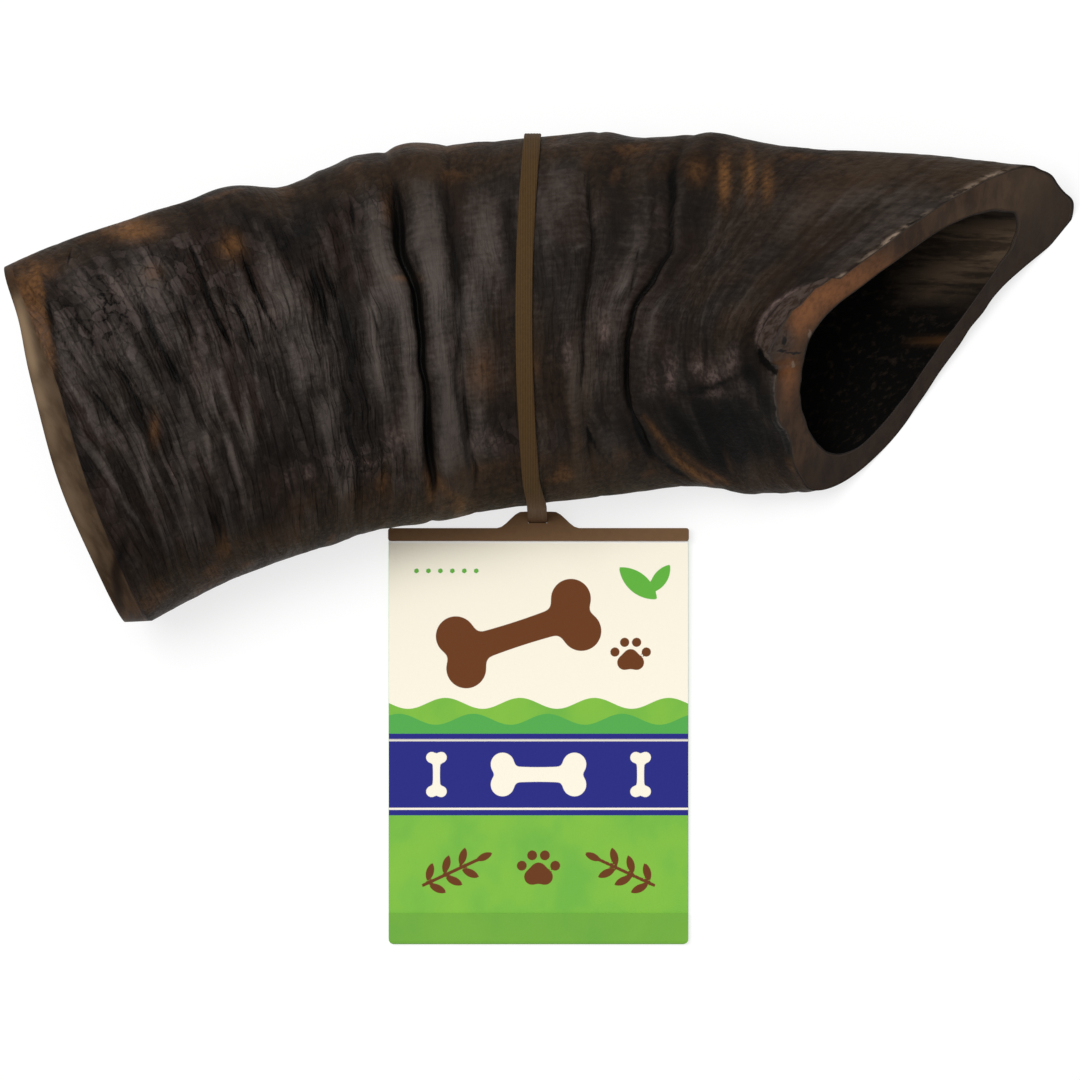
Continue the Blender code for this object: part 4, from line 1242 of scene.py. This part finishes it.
def leaf(u, v, middle_u, middle_v, length, degrees):
    """Distance to a pointed leaf: what two circles share."""
    a, b = turned(u, v, middle_u, middle_v, degrees)
    radius = length * 0.72
    apart = math.sqrt(radius ** 2 - (length / 2.0) ** 2)
    return np.maximum(circle(a, b, 0.0, -apart, radius), circle(a, b, 0.0, apart, radius))


def sprig(u, v, middle_u, middle_v, length, degrees):
    """Distance to a stem with leaves in pairs."""
    a, b = turned(u, v, middle_u, middle_v, degrees)
    shape = np.maximum(np.abs(a) - length / 2.0, np.abs(b) - 0.32)
    for place in (-0.30, -0.02, 0.26):
        for side in (-1.0, 1.0):
            middle = (place * length, side * length * 0.14)
            shape = np.minimum(shape, leaf(a, b, *middle, length * 0.30, side * 50.0))
    return np.minimum(shape, leaf(a, b, length * 0.56, 0.0, length * 0.28, 0.0))


def paw(u, v, middle_u, middle_v, size):
    """Distance to a paw mark: a pad and four toes."""
    shape = blended(circle(u, v, middle_u - 0.16 * size, middle_v + 0.12 * size, 0.20 * size),
                    circle(u, v, middle_u + 0.16 * size, middle_v + 0.12 * size, 0.20 * size), 0.16 * size)
    shape = blended(shape, circle(u, v, middle_u, middle_v - 0.04 * size, 0.20 * size), 0.12 * size)
    for toe_u, toe_v in ((-0.42, -0.16), (-0.16, -0.42), (0.16, -0.42), (0.42, -0.16)):
        toe = circle(u, v, middle_u + toe_u * size, middle_v + toe_v * size, 0.125 * size)
        shape = np.minimum(shape, toe)
    return shape


def print_fields(u, v):
    """The generic print, as distances in millimetres to the edge of each ink; below nought is inside."""
    brown = np.minimum.reduce([
        bone(u, v, -4.0, 18.6, 32.0, -18.0),
        paw(u, v, 18.5, 23.5, 7.5),
        sprig(u, v, -17.5, 66.5, 13.0, -25.0),
        sprig(u, v, 17.5, 66.5, 13.0, 205.0),
        paw(u, v, 0.0, 66.5, 8.0),
    ])
    dots = [circle(u, v, -24.5 + 2.4 * step, 6.0, 0.5) for step in range(6)]
    green = np.minimum.reduce([leaf(u, v, 20.0, 8.5, 10.0, 40.0), leaf(u, v, 24.4, 7.6, 7.0, -55.0), *dots])
    cream = np.minimum.reduce([
        bone(u, v, 0.0, NAVY_MIDDLE, 19.0, 0.0),
        bone(u, v, -20.5, NAVY_MIDDLE, 9.0, 90.0),
        bone(u, v, 20.5, NAVY_MIDDLE, 9.0, 90.0),
        np.abs(np.abs(v - NAVY_MIDDLE) - NAVY_LINE) - 0.22,
    ])
    shore = 32.6 + 1.1 * np.sin(u * 0.42) - v
    second_shore = 35.8 - 1.1 * np.sin(u * 0.42 + 0.8) - v
    return {"brown_ink": brown, "green_ink": green, "cream_ink": cream, "shore": shore,
            "second_shore": second_shore, "down": v}


def ink(tree, name):
    """1 inside the ink of a field, 0 outside, with an edge as soft as print on card."""
    return smooth_range(tree, field(tree, name), -INK_EDGE, INK_EDGE, 1.0, 0.0)


def band(tree, down, start, end):
    """1 between two distances down the card, 0 outside."""
    after = smooth_range(tree, down, start - BAND_EDGE, start + BAND_EDGE)
    before = smooth_range(tree, down, end - BAND_EDGE, end + BAND_EDGE, 1.0, 0.0)
    return times(tree, after, before)


def card_material(name, flap=False):
    material, tree, shader = new_material(name, 0.6, 0.12)
    fibre = even_noise(tree, 1500.0)
    washed = noise_value(tree, scaled(tree, on_object(tree), (70.0, 55.0, 70.0)), roughness=0.6)
    lime = mix_colour(tree, smooth_range(tree, washed, 0.35, 0.70), LIME, LIME_DEEP)
    if flap:
        colour = mix_colour(tree, 0.6, lime, FLAP_GREEN)
    else:
        down = field(tree, "down")
        colour = layered(
            tree, CREAM,
            (band(tree, down, -5.0, 0.45), WHITE),
            (ink(tree, "green_ink"), LEAF_GREEN),
            (ink(tree, "shore"), lime),
            (ink(tree, "second_shore"), WAVE_GREEN),
            (band(tree, down, NAVY_TO, 200.0), lime),
            (band(tree, down, NAVY_FROM, NAVY_TO), NAVY),
            (ink(tree, "cream_ink"), CREAM),
            (ink(tree, "brown_ink"), BROWN_INK),
        )
    dress(tree, shader, colour, fibre, 0.00004)
    return material


def card_slope(y):
    """How far the card's underside is above the surface it leans on."""
    return CARD_LIFT_AT_TOP * (y - CARD_FOOT_Y) / (CARD_TOP_Y - CARD_FOOT_Y)


def half_width_at(y):
    """The card's half width, drawn in over the rounded corners at its foot."""
    inset = np.clip(CARD_FOOT_Y + CARD_CORNER - y, 0.0, CARD_CORNER)
    return CARD_WIDTH / 2.0 - CARD_CORNER + np.sqrt(CARD_CORNER ** 2 - inset ** 2)


def sheet_mesh(name, grid, shape, fields=None):
    """A thin sheet: a grid bent by a shape, a function of the side (-1 to 1) and the share along (0 to 1)."""
    mesh, across, along = grid_mesh(name, *grid, 0.5)
    points = shape(across * 2.0, along + 0.5)
    mesh.vertices.foreach_set("co", (points * MM).ravel())
    if fields is not None:
        down = HEADER_FOOT_Y - points[:, 1]
        for field_name, values in fields(points[:, 0] - CARD_MIDDLE_X, down).items():
            mesh.attributes.new(field_name, "FLOAT", "POINT").data.foreach_set("value", values)
    mesh.update()
    return mesh


def thicken(piece, thickness, side):
    """Gives a sheet its thickness, on the side its faces point to (1.0) or on the other side (-1.0)."""
    solid = piece.modifiers.new("thickness", "SOLIDIFY")
    solid.thickness = thickness * MM
    solid.offset = side


def front_leaf_shape(side, share):
    y = CARD_FOOT_Y + FRONT_FOOT_GAP + (CARD_TOP_Y - CARD_FOOT_Y - FRONT_FOOT_GAP) * share
    z = card_slope(y) + CARD_THICKNESS
    return np.stack([CARD_MIDDLE_X + side * (CARD_WIDTH / 2.0 - FRONT_SIDE_GAP), y, z], axis=-1)


def back_leaf_shape(side, share):
    """Up the flap's top side, round the fold at the foot and up the back leaf, which faces down."""
    flap_length, back_length = FLAP_HEIGHT, CARD_TOP_Y - CARD_FOOT_Y
    radius = (CARD_THICKNESS + FLAP_THICKNESS) / 2.0
    fold_length = math.pi * radius
    run = share * (flap_length + fold_length + back_length)
    turn = np.clip((run - flap_length) / radius, 0.0, math.pi)
    on_flap = np.clip(flap_length - run, 0.0, None)
    on_back = np.clip(run - flap_length - fold_length, 0.0, None)
    y = CARD_FOOT_Y + radius - radius * np.sin(turn) + on_flap + on_back * (1.0 - radius / back_length)
    z = card_slope(y) + radius + radius * np.cos(turn)
    return np.stack([CARD_MIDDLE_X + side * half_width_at(y), y, z], axis=-1)


def make_card():
    front_mesh = sheet_mesh("card_front", FRONT_GRID, front_leaf_shape, print_fields)
    back_mesh = sheet_mesh("card_back_and_flap", BACK_GRID, back_leaf_shape)
    front = new_piece("card_front", front_mesh, card_material("printed_card"))
    back = new_piece("card_back_and_flap", back_mesh, card_material("lime_card", flap=True))
    thicken(front, LEAF, -1.0)
    thicken(back, LEAF, 1.0)
    for piece in (front, back):
        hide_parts("card")
        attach(piece, "root")


# Stage

def make_stage():
    mesh, _, _ = grid_mesh("floor", 2, 2, FLOOR_SIZE)
    mesh.transform(Matrix.Translation((0.0, 0.0, -FLOOR_GAP * MM)))
    material, _, shader = new_material("pale_floor", 0.9, 0.1)
    shader.inputs["Base Color"].default_value = (FLOOR_GREY, FLOOR_GREY, FLOOR_GREY, 1.0)
    shader.inputs["Emission Color"].default_value = (1.0, 1.0, 1.0, 1.0)
    shader.inputs["Emission Strength"].default_value = FLOOR_GLOW
    new_piece("floor", mesh, material)

    world = bpy.data.worlds.new("studio")
    world.use_nodes = True
    world.node_tree.nodes["Background"].inputs["Color"].default_value = (1.0, 1.0, 1.0, 1.0)
    world.node_tree.nodes["Background"].inputs["Strength"].default_value = SKY_STRENGTH
    bpy.context.scene.world = world

    make_light()


def make_light():
    light = bpy.data.lights.new("key", "AREA")
    light.size = KEY_SIZE
    light.energy = KEY_POWER
    lamp = bpy.data.objects.new("key", light)
    lamp.location = KEY_PLACE
    aim = Vector(KEY_AIM) - lamp.location
    lamp.rotation_euler = aim.to_track_quat("-Z", "Y").to_euler()
    bpy.context.scene.collection.objects.link(lamp)


def make_camera():
    data = bpy.data.cameras.new("camera")
    data.sensor_width = SENSOR
    data.lens = SENSOR * (CAMERA_HEIGHT - VIEW_LEVEL) / VIEW_WIDTH
    data.clip_end = FARTHEST_SEEN * MM
    camera = bpy.data.objects.new("camera", data)
    camera.location = (VIEW_CENTRE[0] * MM, VIEW_CENTRE[1] * MM, CAMERA_HEIGHT * MM)
    bpy.context.scene.collection.objects.link(camera)
    bpy.context.scene.camera = camera


make_camera()
make_stage()
make_strap(make_horn())
make_header()
make_card()
bpy.context.scene.view_settings.view_transform = "Standard"
